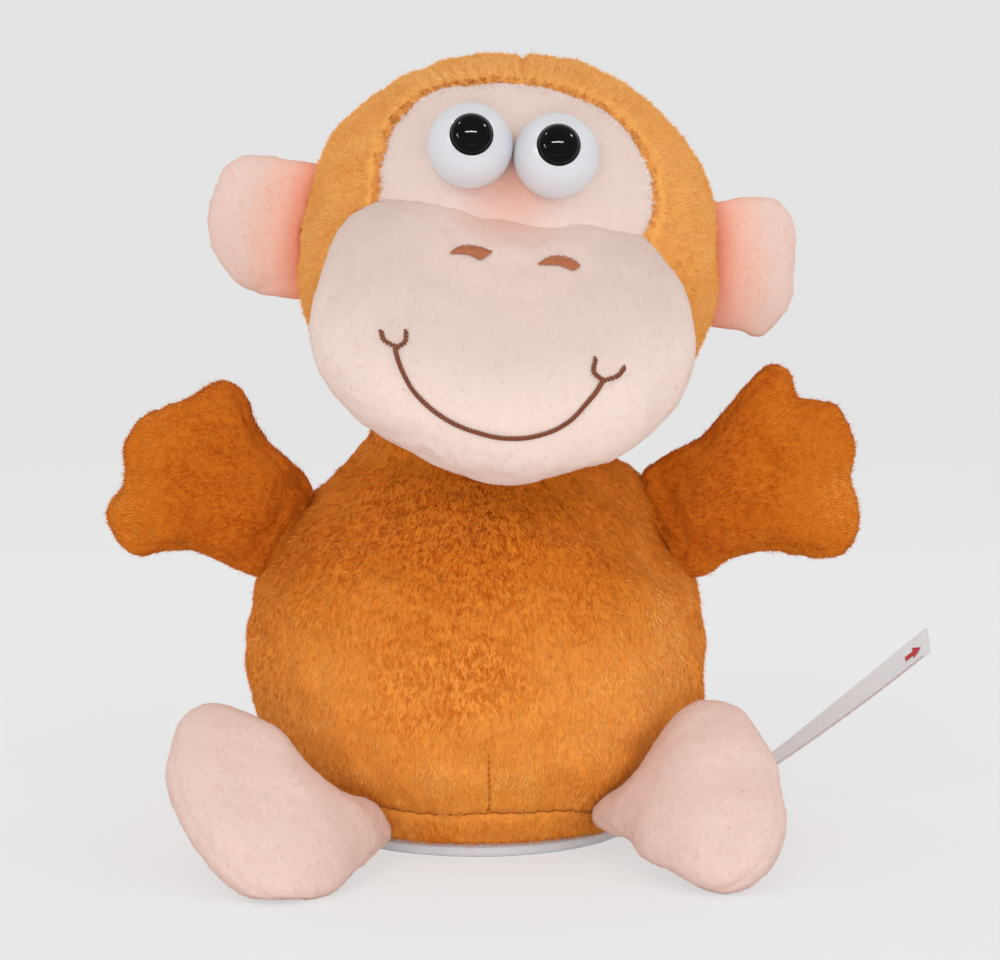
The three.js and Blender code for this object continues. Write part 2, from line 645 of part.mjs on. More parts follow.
function buildBox() {
  const outside = plate('y', roundedRectangle(
    -boxHalfWidth, boxHalfWidth, boxBottom, boxTop, boxRounding), -boxFront, boxBack, 2);
  const inside = plate('y', roundedRectangle(
    -boxHalfWidth + boxWall, boxHalfWidth - boxWall, boxBottom + boxWall, boxTop - boxWall,
    boxRounding - boxWall), -boxFront + boxWall, boxBack - boxWall, 2);
  const hatch = block(-outerFace - gap, outerFace + gap, -earRadius - gap, earRadius + gap,
    boxTop - boxWall - 1, boxTop + 1);
  const half = (fromY, toY) => block(-boxHalfWidth - 1, boxHalfWidth + 1, fromY, toY,
    boxBottom - 1, boxTop + 1);
  const wireHole = rod('z', wireHoleRadius, boxBottom - 1, boxBottom + boxWall + 1,
    -boxHalfWidth + 8, boxBack - 8, 12);
  const shell = cut(outside, inside, hatch, wireHole);

  const spacing = 2 * grilleRadius / grilleSlots;
  const slots = [];
  for (let i = 0; i < grilleSlots; i += 1) {
    const x = (i - (grilleSlots - 1) / 2) * spacing;
    const reach = Math.sqrt(grilleRadius ** 2 - x ** 2);
    const slot = roundedRectangle(x - slotWidth / 2, x + slotWidth / 2,
      speakerHeight - reach, speakerHeight + reach, slotWidth / 2 - 0.01);
    slots.push(plate('y', slot, -boxFront - 1, -boxFront + boxWall + 1, 2));
  }
  const collarEnd = speakerFront + speakerRim;
  const collar = cut(
    rod('y', speakerRadius + gap + 1.2, -boxFront + boxWall / 2, collarEnd, 0, speakerHeight, 24),
    rod('y', speakerRadius + gap, -boxFront, collarEnd + 1, 0, speakerHeight, 24));
  const front = cut(join(shell.intersect(half(-boxFront - 1, -gap / 2)), collar), ...slots);
  add(model, 'housing_front', front, greyPlastic, 0.5);

  const boardMiddle = (casingBottom + casingTop) / 2;
  const posts = [-1, 1].flatMap((u) => [-1, 1].map((v) => rod('y', postRadius,
    boardFace + gap, boxBack - boxWall / 2,
    boardLeft + boardWidth / 2 + u * (boardWidth / 2 - 3), boardMiddle + v * (boardHeight / 2 - 3), 8)));
  add(model, 'housing_back', join(shell.intersect(half(gap / 2, boxBack + 1)), ...posts), greyPlastic, 0.5);

  const board = new THREE.Group();
  board.position.set(boardLeft + boardWidth / 2, boardFace, boardMiddle);
  model.add(board);
  add(board, 'circuit_board', block(-boardWidth / 2, boardWidth / 2, -boardThickness, 0,
    -boardHeight / 2, boardHeight / 2), boardGreen, 0.5);
  const face = -boardThickness - gap;
  add(board, 'sound_chip', rod('y', chipRadius, face - chipHeight, face, ...chipPlace, 16), black, 0.4);
  const capsule = join(
    rod('y', microphoneRadius, face - microphoneHeight * 0.85, face, ...microphonePlace, 16),
    rod('y', microphoneRadius * 0.8, face - microphoneHeight, face - 1, ...microphonePlace, 16));
  add(board, 'microphone', capsule, steel, 0.35, 0.8);
}

function buildSpeaker() {
  const group = new THREE.Group();
  group.position.set(0, speakerFront, speakerHeight);
  model.add(group);
  const basketBack = speakerDepth - 4;
  const cone = [
    [0, 3.2], [5, 2.4], [speakerRadius - 3.5, 0.7], [speakerRadius - 2, 0.2], [speakerRadius - 1, 0],
    [speakerRadius, 0], [speakerRadius, speakerRim], [speakerRadius - 3, speakerRim + 0.6],
    [magnetRadius + 2, basketBack], [magnetRadius, basketBack], [magnetRadius, speakerDepth],
    [0, speakerDepth]];
  const points = cone.map(([radius, depth]) => new THREE.Vector2(radius, depth));
  add(group, 'speaker', toSolid(new THREE.LatheGeometry(points, 24)), black, 0.55);
}

// Mechanism: plates, motor, two-stage gear train, crank and slotted neck lever

function plateHole(shape, y, z, radius) {
  const hole = new THREE.Path();
  hole.absarc(y, z, radius, 0, 2 * Math.PI, true);
  shape.holes.push(hole);
}

function plateOutline(fromY, toY) {
  const shape = new THREE.Shape();
  shape.moveTo(fromY, casingBottom);
  shape.lineTo(toY, casingBottom);
  shape.lineTo(toY, casingTop);
  shape.lineTo(earRadius, casingTop);
  shape.lineTo(earRadius, pivotHeight);
  shape.absarc(0, pivotHeight, earRadius, 0, Math.PI);
  shape.lineTo(-earRadius, casingTop);
  shape.lineTo(fromY, casingTop);
  shape.closePath();
  return shape;
}

function buildPlates() {
  const left = plateOutline(casingFront, -casingFront);
  const window = new THREE.Path();
  const w = motorHalfWidth + gap;
  const low = motorHeight - motorRadius - gap;
  const high = motorHeight + motorRadius + gap;
  window.moveTo(-w, low);
  window.lineTo(-w, high);
  window.lineTo(w, high);
  window.lineTo(w, low);
  window.closePath();
  left.holes.push(window);
  plateHole(left, 0, pivotHeight, pivotPinRadius + gap);
  const spacerPlaces = [
    [casingFront + postRadius + 1, casingTop - postRadius - 1],
    [-casingFront - postRadius - 1, casingTop - postRadius - 1],
    [casingFront + postRadius + 1, casingBottom + postRadius + 1]];
  const spacers = spacerPlaces.map(([y, z]) => (
    rod('x', postRadius, -innerFace - 0.5, innerFace - gap, y, z, 8)));
  add(model, 'frame_left', join(plate('x', left, -outerFace, -innerFace), ...spacers), gearWhite, 0.5);

  const right = plateOutline(casingFront, casingBack);
  plateHole(right, 0, pivotHeight, pivotPinRadius + gap);
  plateHole(right, 0, crankHeight, shaftRadius + gap);
  plateHole(right, stepBack, compoundHeight, gearPinRadius + gap);
  plateHole(right, 0, motorHeight, motorBossRadius + gap);
  add(model, 'frame_right', plate('x', right, innerFace, outerFace), gearWhite, 0.5);

  const cover = roundedRectangle(casingFront, casingBack, casingBottom, casingTop, 3);
  plateHole(cover, 0, crankHeight, journalRadius + gap);
  plateHole(cover, stepBack, compoundHeight, gearPinRadius + gap);
  const corner = postRadius + 1.2;
  const posts = [casingFront + corner, casingBack - corner].flatMap((y) => (
    [casingBottom + corner, casingTop - corner].map((z) => (
      rod('x', postRadius, outerFace + gap, coverFace + 0.5, y, z, 8)))));
  add(model, 'gear_cover', join(plate('x', cover, coverFace, coverOutside), ...posts), gearWhite, 0.5);

  const pinReach = outerFace + 1.2;
  const pin = join(
    rod('x', pivotPinRadius, -pinReach, pinReach, 0, 0, 16),
    rod('x', pivotPinRadius + 1.1, -pinReach - 1, -outerFace - gap, 0, 0, 16));
  add(model, 'pivot_pin', pin, steel, 0.3, 0.9).position.z = pivotHeight;
}

function buildMotor() {
  const group = new THREE.Group();
  group.position.set(0, 0, motorHeight);
  model.add(group);
  const back = motorFront - motorLength;
  const halfAngle = Math.acos(motorHalfWidth / motorRadius);
  const can = new THREE.Shape();
  can.absarc(0, 0, motorRadius, halfAngle, Math.PI - halfAngle);
  can.absarc(0, 0, motorRadius, Math.PI + halfAngle, 2 * Math.PI - halfAngle);
  can.closePath();
  const shaftHole = rod('x', motorShaftRadius + gap, motorFront - 4, outerFace + 2, 0, 0, 12);
  const nose = rod('x', motorBossRadius, motorFront - 1, outerFace - gap, 0, 0, 20);
  const tail = rod('x', motorTailRadius, back - motorTail, back + 1, 0, 0, 16);
  const tag = (z) => block(back - motorTail, back + 1, -1.2, 1.2, z - 0.3, z + 0.3);
  const body = plate('x', can, back, motorFront, 8);
  add(group, 'motor', cut(join(body, nose, tail, tag(6), tag(-6)), shaftHole), steel, 0.35, 0.85);
  const mesh = trainSlope + Math.PI / pinionTeeth; // a tooth gap faces the compound gear
  const pinion = join(
    plate('x', gearOutline(pinionTeeth, mesh), secondGearX, secondGearX + gearWidth),
    rod('x', motorShaftRadius, motorFront - 3, secondGearX + gearWidth, 0, 0, 12));
  add(group, 'motor_pinion', pinion, brass, 0.35, 0.9);
}

function buildGears() {
  const compound = new THREE.Group();
  compound.position.set(0, stepBack, compoundHeight);
  model.add(compound);
  const towardCrank = Math.PI - trainSlope;
  const towardMotor = Math.PI + trainSlope;
  const gapTowardCrank = towardCrank + Math.PI / pinionTeeth;
  const blank = join(
    plate('x', gearOutline(gearTeeth, towardMotor), secondGearX, secondGearX + gearWidth),
    plate('x', gearOutline(pinionTeeth, gapTowardCrank), firstGearX, secondGearX + 0.5));
  const bore = rod('x', gearPinRadius + gap, firstGearX - 1, coverFace, 0, 0, 10);
  const web = lighteningHoles(secondGearX, 5, 2.3);
  add(compound, 'compound_gear', cut(blank, bore, ...web), gearWhite, 0.45);
  add(compound, 'gear_pin', rod('x', gearPinRadius, innerFace, coverOutside, 0, 0, 12), steel, 0.3, 0.9);

  const crank = new THREE.Group();
  crank.position.set(0, 0, crankHeight);
  model.add(crank);
  const wheel = plate('x', gearOutline(gearTeeth, -trainSlope), firstGearX, firstGearX + gearWidth);
  const solid = join(
    cut(wheel, ...lighteningHoles(firstGearX, 5, 2.3)),
    rod('x', shaftRadius, discFace + 1, firstGearX + 1, 0, 0, 14),
    rod('x', journalRadius, firstGearX + 1, coverOutside, 0, 0, 12),
    rod('x', crankDiscRadius, discFace, discFace + crankDiscThickness, 0, 0, 20),
    rod('x', crankPinRadius, -discFace, discFace + 1, 0, -crankRadius, 12));
  add(crank, 'crank_gear', solid, gearWhite, 0.45);
}

function lighteningHoles(fromX, count, radius) {
  const circle = gearModule * gearTeeth / 3.3;
  return Array.from({ length: count }, (_, i) => {
    const angle = i * 2 * Math.PI / count;
    const [y, z] = [circle * Math.cos(angle), circle * Math.sin(angle)];
    return rod('x', radius, fromX - 0.4, fromX + gearWidth + 1, y, z, 8);
  });
}

function leverShape(grow) {
  const tailEnd = -(crankDrop + crankRadius + crankPinRadius + slotPlay + 3);
  const shape = new THREE.Shape();
  const w = leverHalfWidth + grow;
  const bladeHalf = leverHalfWidth - 0.5 + grow;
  const paddle = paddleHalfWidth + grow;
  const [low, high] = [paddleBottom - grow, paddleTop + grow];
  shape.moveTo(-w * 0.7, tailEnd);
  shape.lineTo(w * 0.7, tailEnd);
  shape.lineTo(w, tailEnd + 3);
  shape.lineTo(w, -crankDrop + crankRadius + 6);
  shape.lineTo(bladeHalf, 0);
  shape.lineTo(bladeHalf, low - 4);
  shape.lineTo(paddle, low + 3);
  shape.lineTo(paddle, high - 8);
  shape.absarc(paddle - 8, high - 8, 8, 0, Math.PI / 2);
  shape.absarc(-paddle + 8, high - 8, 8, Math.PI / 2, Math.PI);
  shape.lineTo(-paddle, low + 3);
  shape.lineTo(-bladeHalf, low - 4);
  shape.lineTo(-bladeHalf, 0);
  shape.lineTo(-w, -crankDrop + crankRadius + 6);
  shape.lineTo(-w, tailEnd + 3);
  shape.closePath();
  return shape;
}

function buildLever() {
  const group = new THREE.Group();
  group.position.z = pivotHeight;
  model.add(group);
  const shape = leverShape(0);
  const reach = crankRadius + crankPinRadius + slotPlay;
  const slotHalf = crankPinRadius + slotPlay;
  const slot = roundedRectangle(
    -slotHalf, slotHalf, -crankDrop - reach, -crankDrop + reach, slotHalf - 0.01);
  const [across, up] = sewingHoleSpread;
  for (const [u, v] of [[-1, 1], [1, 1], [0, 0], [-1, -1], [1, -1]]) {
    plateHole(shape, u * across, paddleTop - sewingHoleDrop + v * up, sewingHoleRadius);
  }
  const half = leverThickness / 2;
  const blade = join(plate('x', shape, -half, half),
    rod('x', hubRadius, -innerFace + gap, innerFace - gap, 0, 0, 16));
  const solid = cut(blade, plate('x', slot, -half - 1, half + 1, 5),
    rod('x', pivotPinRadius + gap, -innerFace - 1, innerFace + 1, 0, 0, 12));
  add(group, 'neck_lever', solid, gearWhite, 0.5);
}

// Plush body: a skin with its stuffing, hollow for the box, gathered into the base's groove

function bodyFlankPoints(grow) {
  const joinRadius = neckBallRadius - neckInset;
  const joinHeight = pivotHeight + Math.sqrt(neckBallRadius ** 2 - joinRadius ** 2);
  const shoulder = shoulderFlank.map(([radius, drop]) => [radius, pivotHeight - drop]);
  const corners = [
    [neckRadius + gap + hemThickness, rimHeight + gap], ...bodyFlank, ...shoulder,
    [joinRadius, joinHeight]];
  const curve = new THREE.SplineCurve(corners.map((corner) => new THREE.Vector2(...corner)));
  return curve.getPoints(12).map((point) => [point.x + grow, point.y]);
}

function makeBodyForm(grow) {
  const flank = bodyFlankPoints(grow);
  const start = Math.asin((flank.at(-1)[1] - pivotHeight) / (neckBallRadius + grow));
  const top = [];
  for (let step = 1; step <= 4; step += 1) {
    const angle = start + (Math.PI / 2 - start) * step / 4;
    const radius = neckBallRadius + grow;
    top.push([radius * Math.cos(angle), pivotHeight + radius * Math.sin(angle)]);
  }
  top.at(-1)[0] = 0;
  const bottom = rimHeight + gap - grow;
  return turned([[0, bottom], [flank[0][0], bottom], ...flank.slice(1), ...top], bodyFacets);
}

function makeBodyPlush() {
  const cavity = Math.hypot(boxHalfWidth, boxFront) + gap;
  const earRoom = Math.hypot(outerFace + 3, earRadius) + 1.5;
  const shoulder = pivotHeight + earRadius + 3;
  const hollow = turned([
    [0, 0], [neckRadius + gap, 0], [neckRadius + gap, deckTop + gap], [cavity, deckTop + gap + 1],
    [cavity, boxTop + gap], [earRoom, boxTop + gap], [earRoom, shoulder], [neckOpening, shoulder + 6],
    [neckOpening, pivotHeight + neckBallRadius + 5], [0, pivotHeight + neckBallRadius + 5]], bodyFacets);
  return cut(makeBodyForm(0), hollow);
}

function frameMatrix(origin, along, up) {
  const forward = new THREE.Vector3().crossVectors(up, along).normalize();
  return new THREE.Matrix4().makeBasis(along, forward, up).setPosition(...origin);
}

function centreOf(outline) {
  const middle = outline.reduce(([u, v], point) => [u + point[0], v + point[1]], [0, 0]);
  return middle.map((sum) => sum / outline.length);
}

function armMatrix(side) {
  const turn = THREE.MathUtils.degToRad(armTurn);
  const along = new THREE.Vector3(Math.cos(turn), -side * Math.sin(turn), 0);
  const [x, y, z] = armOrigin;
  return frameMatrix([side * x, y, pivotHeight + z], along, new THREE.Vector3(0, 0, 1));
}

function footMatrix(origin, side) {
  const turn = THREE.MathUtils.degToRad(footTurn);
  const lean = THREE.MathUtils.degToRad(footLean);
  const along = new THREE.Vector3(Math.cos(turn), -side * Math.sin(turn), 0);
  const back = new THREE.Vector3(side * Math.sin(turn), Math.cos(turn), 0);
  const up = new THREE.Vector3(0, 0, Math.cos(lean)).addScaledVector(back, Math.sin(lean));
  return frameMatrix(origin, along, up);
}

function bentFoot(geometry, matrix, side) {
  const place = geometry.attributes.position;
  const point = new THREE.Vector3();
  for (let i = 0; i < place.count; i += 1) {
    point.fromBufferAttribute(place, i);
    const bend = footBend * Math.max(0, 1 - side * point.x / footBendLength) ** 2;
    point.applyMatrix4(matrix);
    place.setXYZ(i, point.x, point.y + bend, point.z);
  }
  return toSolid(geometry);
}

function mirrored(outline, side) {
  return outline.map(([u, v]) => [side * u, v]);
}

function buildBodyPlush() {
  add(model, 'body_plush', makeBodyPlush(), tan, 0.95);
  const body = makeBodyForm(gap);
  const arms = [['arm_left', -1, armLeftOutline], ['arm_right', 1, armRightOutline]];
  const [armOut, armUp] = armCentre;
  for (const [name, side, outline] of arms) {
    const form = stuffed({
      outline: mirrored(outline, side), centre: [side * armOut, armUp], front: armThickness / 2,
      back: armThickness / 2, count: 32 });
    add(model, name, cut(placed(form, armMatrix(side)), body), tan, 0.95);
  }
  const floor = block(-200, 200, -200, 200, -100, soleHeight);
  const rim = rod('z', rimRadius + gap, -1, rimHeight + gap, 0, 0, 36);
  const feet = [
    ['foot_left', -1, footLeftOutline, footLeftOrigin],
    ['foot_right', 1, footRightOutline, footRightOrigin]];
  for (const [name, side, outline, origin] of feet) {
    const centre = centreOf(mirrored(outline, side));
    const form = stuffed({
      outline: mirrored(outline, side),
      centre,
      front: footThickness * 0.45,
      back: footThickness * 0.55,
      count: 28,
      fullness: 2.4,
    });
    add(model, name, cut(bentFoot(form, footMatrix(origin, side), side), body, floor, rim), ivory, 0.95);
  }
}

// Head: everything here is in the head's own frame

const headPlace = new THREE.Matrix4().makeRotationY(THREE.MathUtils.degToRad(headTilt));
headPlace.setPosition(headCentre[0], headCentre[1], headHeight);
const toHead = headPlace.clone().invert();

function headForm(grow) {
  const geometry = new THREE.SphereGeometry(1, 28, 16);
  const place = geometry.attributes.position;
  const [a, b, c] = [headHalfWidth + grow, headHalfDepth + grow, headHalfHeight + grow];
  const point = new THREE.Vector3();
  for (let i = 0; i < place.count; i += 1) {
    point.fromBufferAttribute(place, i);
    const face = (Math.abs(point.x / a) ** headSquareness + Math.abs(point.z / c) ** headSquareness)
      ** (headFullness / headSquareness);
    point.multiplyScalar((face + Math.abs(point.y / b) ** headFullness) ** (-1 / headFullness));
    place.setXYZ(i, point.x, point.y, point.z);
  }
  return toSolid(geometry);
}

function muzzleForm(grow) {
  const chin = muzzleOutline.reduce((low, [, z]) => Math.min(low, z), 0);
  return toSolid(stuffed({
    outline: muzzleOutline,
    centre: muzzleCentre,
    front: muzzleFront,
    back: (z) => THREE.MathUtils.lerp(muzzleChin, muzzleBack,
      THREE.MathUtils.smoothstep(z, chin, muzzleCentre[1])),
    grow,
    count: 28,
    fullness: 2.3,
    plane: (x, z) => muzzlePlace - headCentre[1] + muzzleLean * (z - muzzleCentre[1]),
  }));
}

function eyeAxis(index) {
  const [x, z] = eyeCentres[index];
  const lift = THREE.MathUtils.degToRad(pupilLift);
  const ahead = new THREE.Vector3(0, -Math.cos(lift), Math.sin(lift));
  const up = new THREE.Vector3(0, Math.sin(lift), Math.cos(lift));
  const basis = new THREE.Matrix4().makeBasis(up, ahead, new THREE.Vector3().crossVectors(up, ahead));
  return basis.setPosition(x, eyePlace - headCentre[1], z);
}

// Along an eye's axis: a stem in from the dome, and the washer that holds it behind the skin
function stemSolid(grow) {
  return rod('y', stemRadius + grow, eyeRadius - stemLength - grow, eyeRadius, 0, 0, 8);
}

function washerSolid(radius, grow) {
  const back = eyeRadius - stemLength + 1.5;
  return rod('y', radius + grow, back - grow, back + washerThickness + grow, 0, 0, 12);
}

function onEye(solid, index) {
  return solid.transform(eyeAxis(index).toArray());
}

function eyeForm(index, grow) {
  const [x, z] = eyeCentres[index];
  const dome = new THREE.SphereGeometry(eyeRadius + grow, 18, 10);
  return toSolid(dome.translate(x, eyePlace - headCentre[1], z));
}

function earForm(outline) {
  return stuffed({
    outline, centre: centreOf(outline), front: earThickness * 0.35, back: earThickness * 0.65,
    count: 20, plane: () => earPlace - headCentre[1] });
}

function buildHead() {
  const group = new THREE.Group();
  group.applyMatrix4(headPlace);
  model.add(group);
  const head = headForm(gap);
  const ball = new THREE.SphereGeometry(neckBallRadius + neckGap, 24, 16);
  ball.translate(0, 0, pivotHeight).applyMatrix4(toHead);
  const pocket = plate('x', leverShape(gap), -leverThickness / 2 - gap, leverThickness / 2 + gap)
    .translate([0, 0, pivotHeight]).transform(toHead.toArray());
  const throat = toSolid(ball);
  // The body as the head sees it at both ends of the nod
  const sweep = [-1, 1].map((side) => makeBodyForm(gap).translate([0, 0, -pivotHeight])
    .rotate([side * nodRange, 0, 0]).translate([0, 0, pivotHeight]).transform(toHead.toArray()));

  const wells = [0, 1].map((i) => onEye(join(stemSolid(gap), washerSolid(washerRadius, gap)), i));
  add(group, 'head_plush', cut(headForm(0), throat, ...sweep, pocket, ...wells), tan, 0.95);
  add(group, 'muzzle', cut(muzzleForm(0), head, ...sweep), cream, 0.95);

  const prism = new THREE.Shape(
    smoothOutline(patchOutline, 24).map((point) => new THREE.Vector2(point.x, point.y)));
  const panel = plate('y', prism, -headHalfDepth - 10, 0);
  const patch = cut(headForm(gap + patchThickness).intersect(panel), head, muzzleForm(gap), ...wells);
  add(group, 'face_patch', patch, cream, 0.95);
  const backing = join(headForm(2 * gap + patchThickness).intersect(panel), head);
  for (const [i, side] of [[0, 'left'], [1, 'right']]) {
    const white = cut(eyeForm(i, 0), backing, muzzleForm(gap), onEye(stemSolid(gap), i));
    add(group, `eye_white_${side}`, white, eyeWhite, 0.4);
    const button = new THREE.SphereGeometry(1, 14, 8).scale(pupilRadius, pupilHeight, pupilRadius);
    button.translate(0, eyeRadius + gap, 0);
    const dome = cut(onEye(toSolid(button), i), eyeForm(i, gap));
    const neck = rod('y', stemRadius, eyeRadius - 1, eyeRadius + 1, 0, 0, 8);
    const pupil = join(dome, onEye(join(stemSolid(0), neck), i));
    add(group, `eye_pupil_${side}`, pupil, black, 0.08);
    const bore = rod('y', stemRadius + gap, -stemLength, eyeRadius, 0, 0, 8);
    const washer = cut(washerSolid(washerRadius, 0), bore);
    add(group, `eye_washer_${side}`, onEye(washer, i), gearWhite, 0.5);
  }
  add(group, 'ear_left', cut(toSolid(earForm(earLeftOutline)), head), blush, 0.95);
  add(group, 'ear_right', cut(toSolid(earForm(earRightOutline)), head), blush, 0.95);
}

buildBase();
buildSwitch();
buildPullTab();
buildBox();
buildSpeaker();
buildPlates();
buildMotor();
buildGears();
buildLever();
buildBodyPlush();
buildHead();

export default model;
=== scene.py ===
# A talking stuffed monkey on a round white base, photographed on a pale studio floor.
# Sizes are in millimetres until a mesh is made; left and right in names are the viewer's.
import json
import math

import bpy
import numpy as np
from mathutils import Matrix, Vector
from mathutils.bvhtree import BVHTree
from mathutils.kdtree import KDTree


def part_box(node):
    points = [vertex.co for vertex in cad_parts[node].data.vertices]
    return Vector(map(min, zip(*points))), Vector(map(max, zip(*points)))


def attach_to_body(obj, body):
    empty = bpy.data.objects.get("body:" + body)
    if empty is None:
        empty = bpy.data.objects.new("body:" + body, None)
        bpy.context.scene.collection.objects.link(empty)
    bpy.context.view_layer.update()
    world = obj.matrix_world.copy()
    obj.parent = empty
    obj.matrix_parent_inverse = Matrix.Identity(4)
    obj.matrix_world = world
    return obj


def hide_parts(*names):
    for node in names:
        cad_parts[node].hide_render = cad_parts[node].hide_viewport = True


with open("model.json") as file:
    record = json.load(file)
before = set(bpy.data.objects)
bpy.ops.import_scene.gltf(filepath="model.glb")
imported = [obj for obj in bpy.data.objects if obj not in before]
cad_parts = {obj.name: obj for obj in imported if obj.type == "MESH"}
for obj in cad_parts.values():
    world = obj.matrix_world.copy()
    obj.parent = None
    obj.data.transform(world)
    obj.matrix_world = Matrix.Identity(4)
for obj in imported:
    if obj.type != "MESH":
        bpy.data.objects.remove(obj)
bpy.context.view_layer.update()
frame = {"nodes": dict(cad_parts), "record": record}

MM = 0.001

# Camera
CAMERA_PLACE = (5.145, -792.214, 190.517)
CAMERA_PITCH = 8.0
CAMERA_LENS = 125.947

# Light: the world's level, and how much of the floor's shade the camera sees as lit paper
WORLD_LIGHT = 0.71
FLOOR_LIT = 0.3
FLOOR_GLOW = 0.56
FLOOR_NEAR, FLOOR_FAR = 260.0, 700.0
# The floor is open where the base stands on it, so that the base can be seen from below
FLOOR_HOLE, FLOOR_EDGE = 35.0, 16000.0
# Lamps that light the toy, and small ones that show only as reflections: name, place, size, energy
LAMP_AIM, SPARK_AIM = (0, 0, 90), (10, -50, 155)
LAMPS = [
    ("key", (-420, -900, 900), (700, 500), 2.0),
    ("fill", (620, -700, 520), (500, 500), 1.1),
    ("low", (0, -900, 50), (700, 160), 2.2),
    ("rim_left", (-640, 430, 240), (300, 300), 0.6),
    ("rim_right", (640, 430, 240), (300, 300), 0.6)]
SPARKS = [
    ("strip", (20, -640, 560), (420, 36), 4.4),
    ("spark_left", (-606, -473, 377), (80, 80), 1.2),
    ("spark_low", (-560, -540, 300), (40, 60), 0.6),
    ("spark_right", (521, -180, 700), (90, 90), 1.6),
    ("spark_top", (-420, -120, 760), (60, 60), 0.9)]

# Head: its own axes are tilted about Y
HEAD_CENTRE = np.array([6.9, 3.0, 129.5])
HEAD_TILT = math.radians(7.5)
HEAD_HALF = (47.3, 41.0, 45.2)
HEAD_FULLNESS = 2.2
HEAD_ROWS, HEAD_COLUMNS = 230, 330
HEAD_BULGE = (27, 0, 171)
CROWN_SEAM_X = -2.5
FACE_CENTRE = np.array([7.0, -40.0, 140.0])
NOSE_ROOT = (7.6, -41, 150)
PATCH_OUTLINE = [
    (-27.2, 8), (-29.9, 14.5), (-30.1, 21), (-28.4, 28), (-22.2, 35), (-13, 38.3), (0, 39.8), (12.5, 38),
    (20.8, 33.6), (26.8, 27), (29.3, 18.5), (28.3, 12), (25.3, 7.5), (0, 2)]
PATCH_MIDDLE = (0.0, 20.0)
PATCH_THICKNESS = 1.6
PATCH_COLUMNS = 200
EYE_RADIUS = 9.3
EYE_CUT = math.radians(-62)
PUPIL_RADIUS = 4.7
PUPIL_HEIGHT = 2.4
PUPIL_LIFT = math.radians(20)
NEAR_POLE = math.radians(89.9)

# Neck: the ball on which the head nods
PIVOT = np.array([0.0, 0.0, 80.0])
NECK_BALL = 26.0
NECK_ROOM = 1.4

# Body: its grid, its seams and a shoulder that is fuller than its solid
BODY_HEIGHTS, BODY_RINGS, BODY_COLUMNS = 16, 150, 380
HEM_SEAM_HEIGHT = 11.0
HEM_DIP, HEM_DIP_TURN, HEM_DIP_WIDTH = 2.8, -0.75, 0.35
FRONT_SEAM_X = 2.7
FRONT_SEAM_TOP = 27.0
SHOULDER = (35, -4, 78)
NO_SEAM = 99.0

# Embroidery, in the head's own X and Z, with the width of the nostrils
MOUTH = [
    (-21.6, -17.2), (-21.5, -18.4), (-19.8, -21.8), (-17.3, -25.2), (-14.1, -28.0), (-10.6, -30.1),
    (-6.8, -31.6), (-2.5, -32.5), (1.6, -33.0), (5.7, -32.8), (9.6, -31.9), (13.5, -30.2), (16.8, -27.7),
    (19.2, -24.5), (21.2, -21.6), (22.3, -19.3), (22.6, -18.5)]
MOUTH_CORNERS = [
    [(-25.2, -14.6), (-24.3, -16.3), (-21.6, -17.3)], [(-19.9, -13.8), (-19.9, -15.9), (-21.5, -17.4)],
    [(20.4, -14.3), (20.4, -16.9), (22.5, -18.5)], [(26.8, -15.6), (25.5, -17.4), (22.6, -18.6)]]
NOSTRILS = [
    [(-12.7, 3.4, 0.7), (-10.9, 4.2, 2.4), (-8.8, 4.5, 3.1), (-6.9, 4.2, 3.7), (-5.3, 3.7, 4.1)],
    [(6.2, 3.5, 0.7), (8.2, 4.4, 2.4), (10.4, 4.8, 2.9), (12.6, 4.4, 3.1), (14.2, 3.7, 2.2)]]
STITCH_LIFT = 0.3
STITCH_STEP = 0.56

# Pull tab: route as X and height, in the plane of TAB_Y
TAB_ROUTE = [(28, 0.6), (38, 0.6), (50, 2.4), (60, 6.6), (70, 12.7), (88, 26.5), (105, 40.3)]
TAB_Y = 8.0
TAB_LENGTH = 93.0
TAB_WIDTH = 9.0
TAB_THICKNESS = 0.25
TAB_TWIST = math.radians(30)
# Its printed marks, as corners: share of its length, and millimetres across
ARROW_TIP, ARROW_NECK, ARROW_TAIL = (1 - away / TAB_LENGTH for away in (2.6, 5.0, 7.4))
TAB_MARKS = [
    [(0.24, -3.9), (0.975, -3.9), (0.975, -3.65), (0.24, -3.65)],
    [(ARROW_TAIL, -0.75), (ARROW_NECK, -0.75), (ARROW_NECK, 0.75), (ARROW_TAIL, 0.75)],
    [(ARROW_NECK, -1.9), (ARROW_TIP, 0), (ARROW_TIP, 0.01), (ARROW_NECK, 1.9)]]
MARK_LIFT, MARK_STEPS = 0.03, 60

# Filling by cloth pressure
CLOTH_SCALE = 10.0
CLOTH_PRESSURE = 4
CLOTH_FRAMES = 20
# Limbs: body, slot, voxel, how far the left and the right are drawn to their root, fuller by,
# depth of the rim's seam, inset of its ridge, bumps as {size: depth}
LIMBS = {
    "arm": ("base", "brown_plush", 1.1, (2.0, 3.0), 0.9, 0.7, 2.4, {14: 0.3, 5: 0.06}),
    "foot": ("base", "pink_plush", 1.4, (0.6, 0.6), 0.0, 0.35, 0.0, {18: 0.25, 6: 0.04}),
    "ear": ("head", "pink_plush", 1.4, (5.5, 5.5), 0.0, 0.7, 0.0, {18: 0.25, 6: 0.04})}
# How each foot settles: squeeze, forward, drop
SOLES = {"foot_left": (0.945, 6.5, 5.0), "foot_right": (0.965, 2.5, 3.0)}
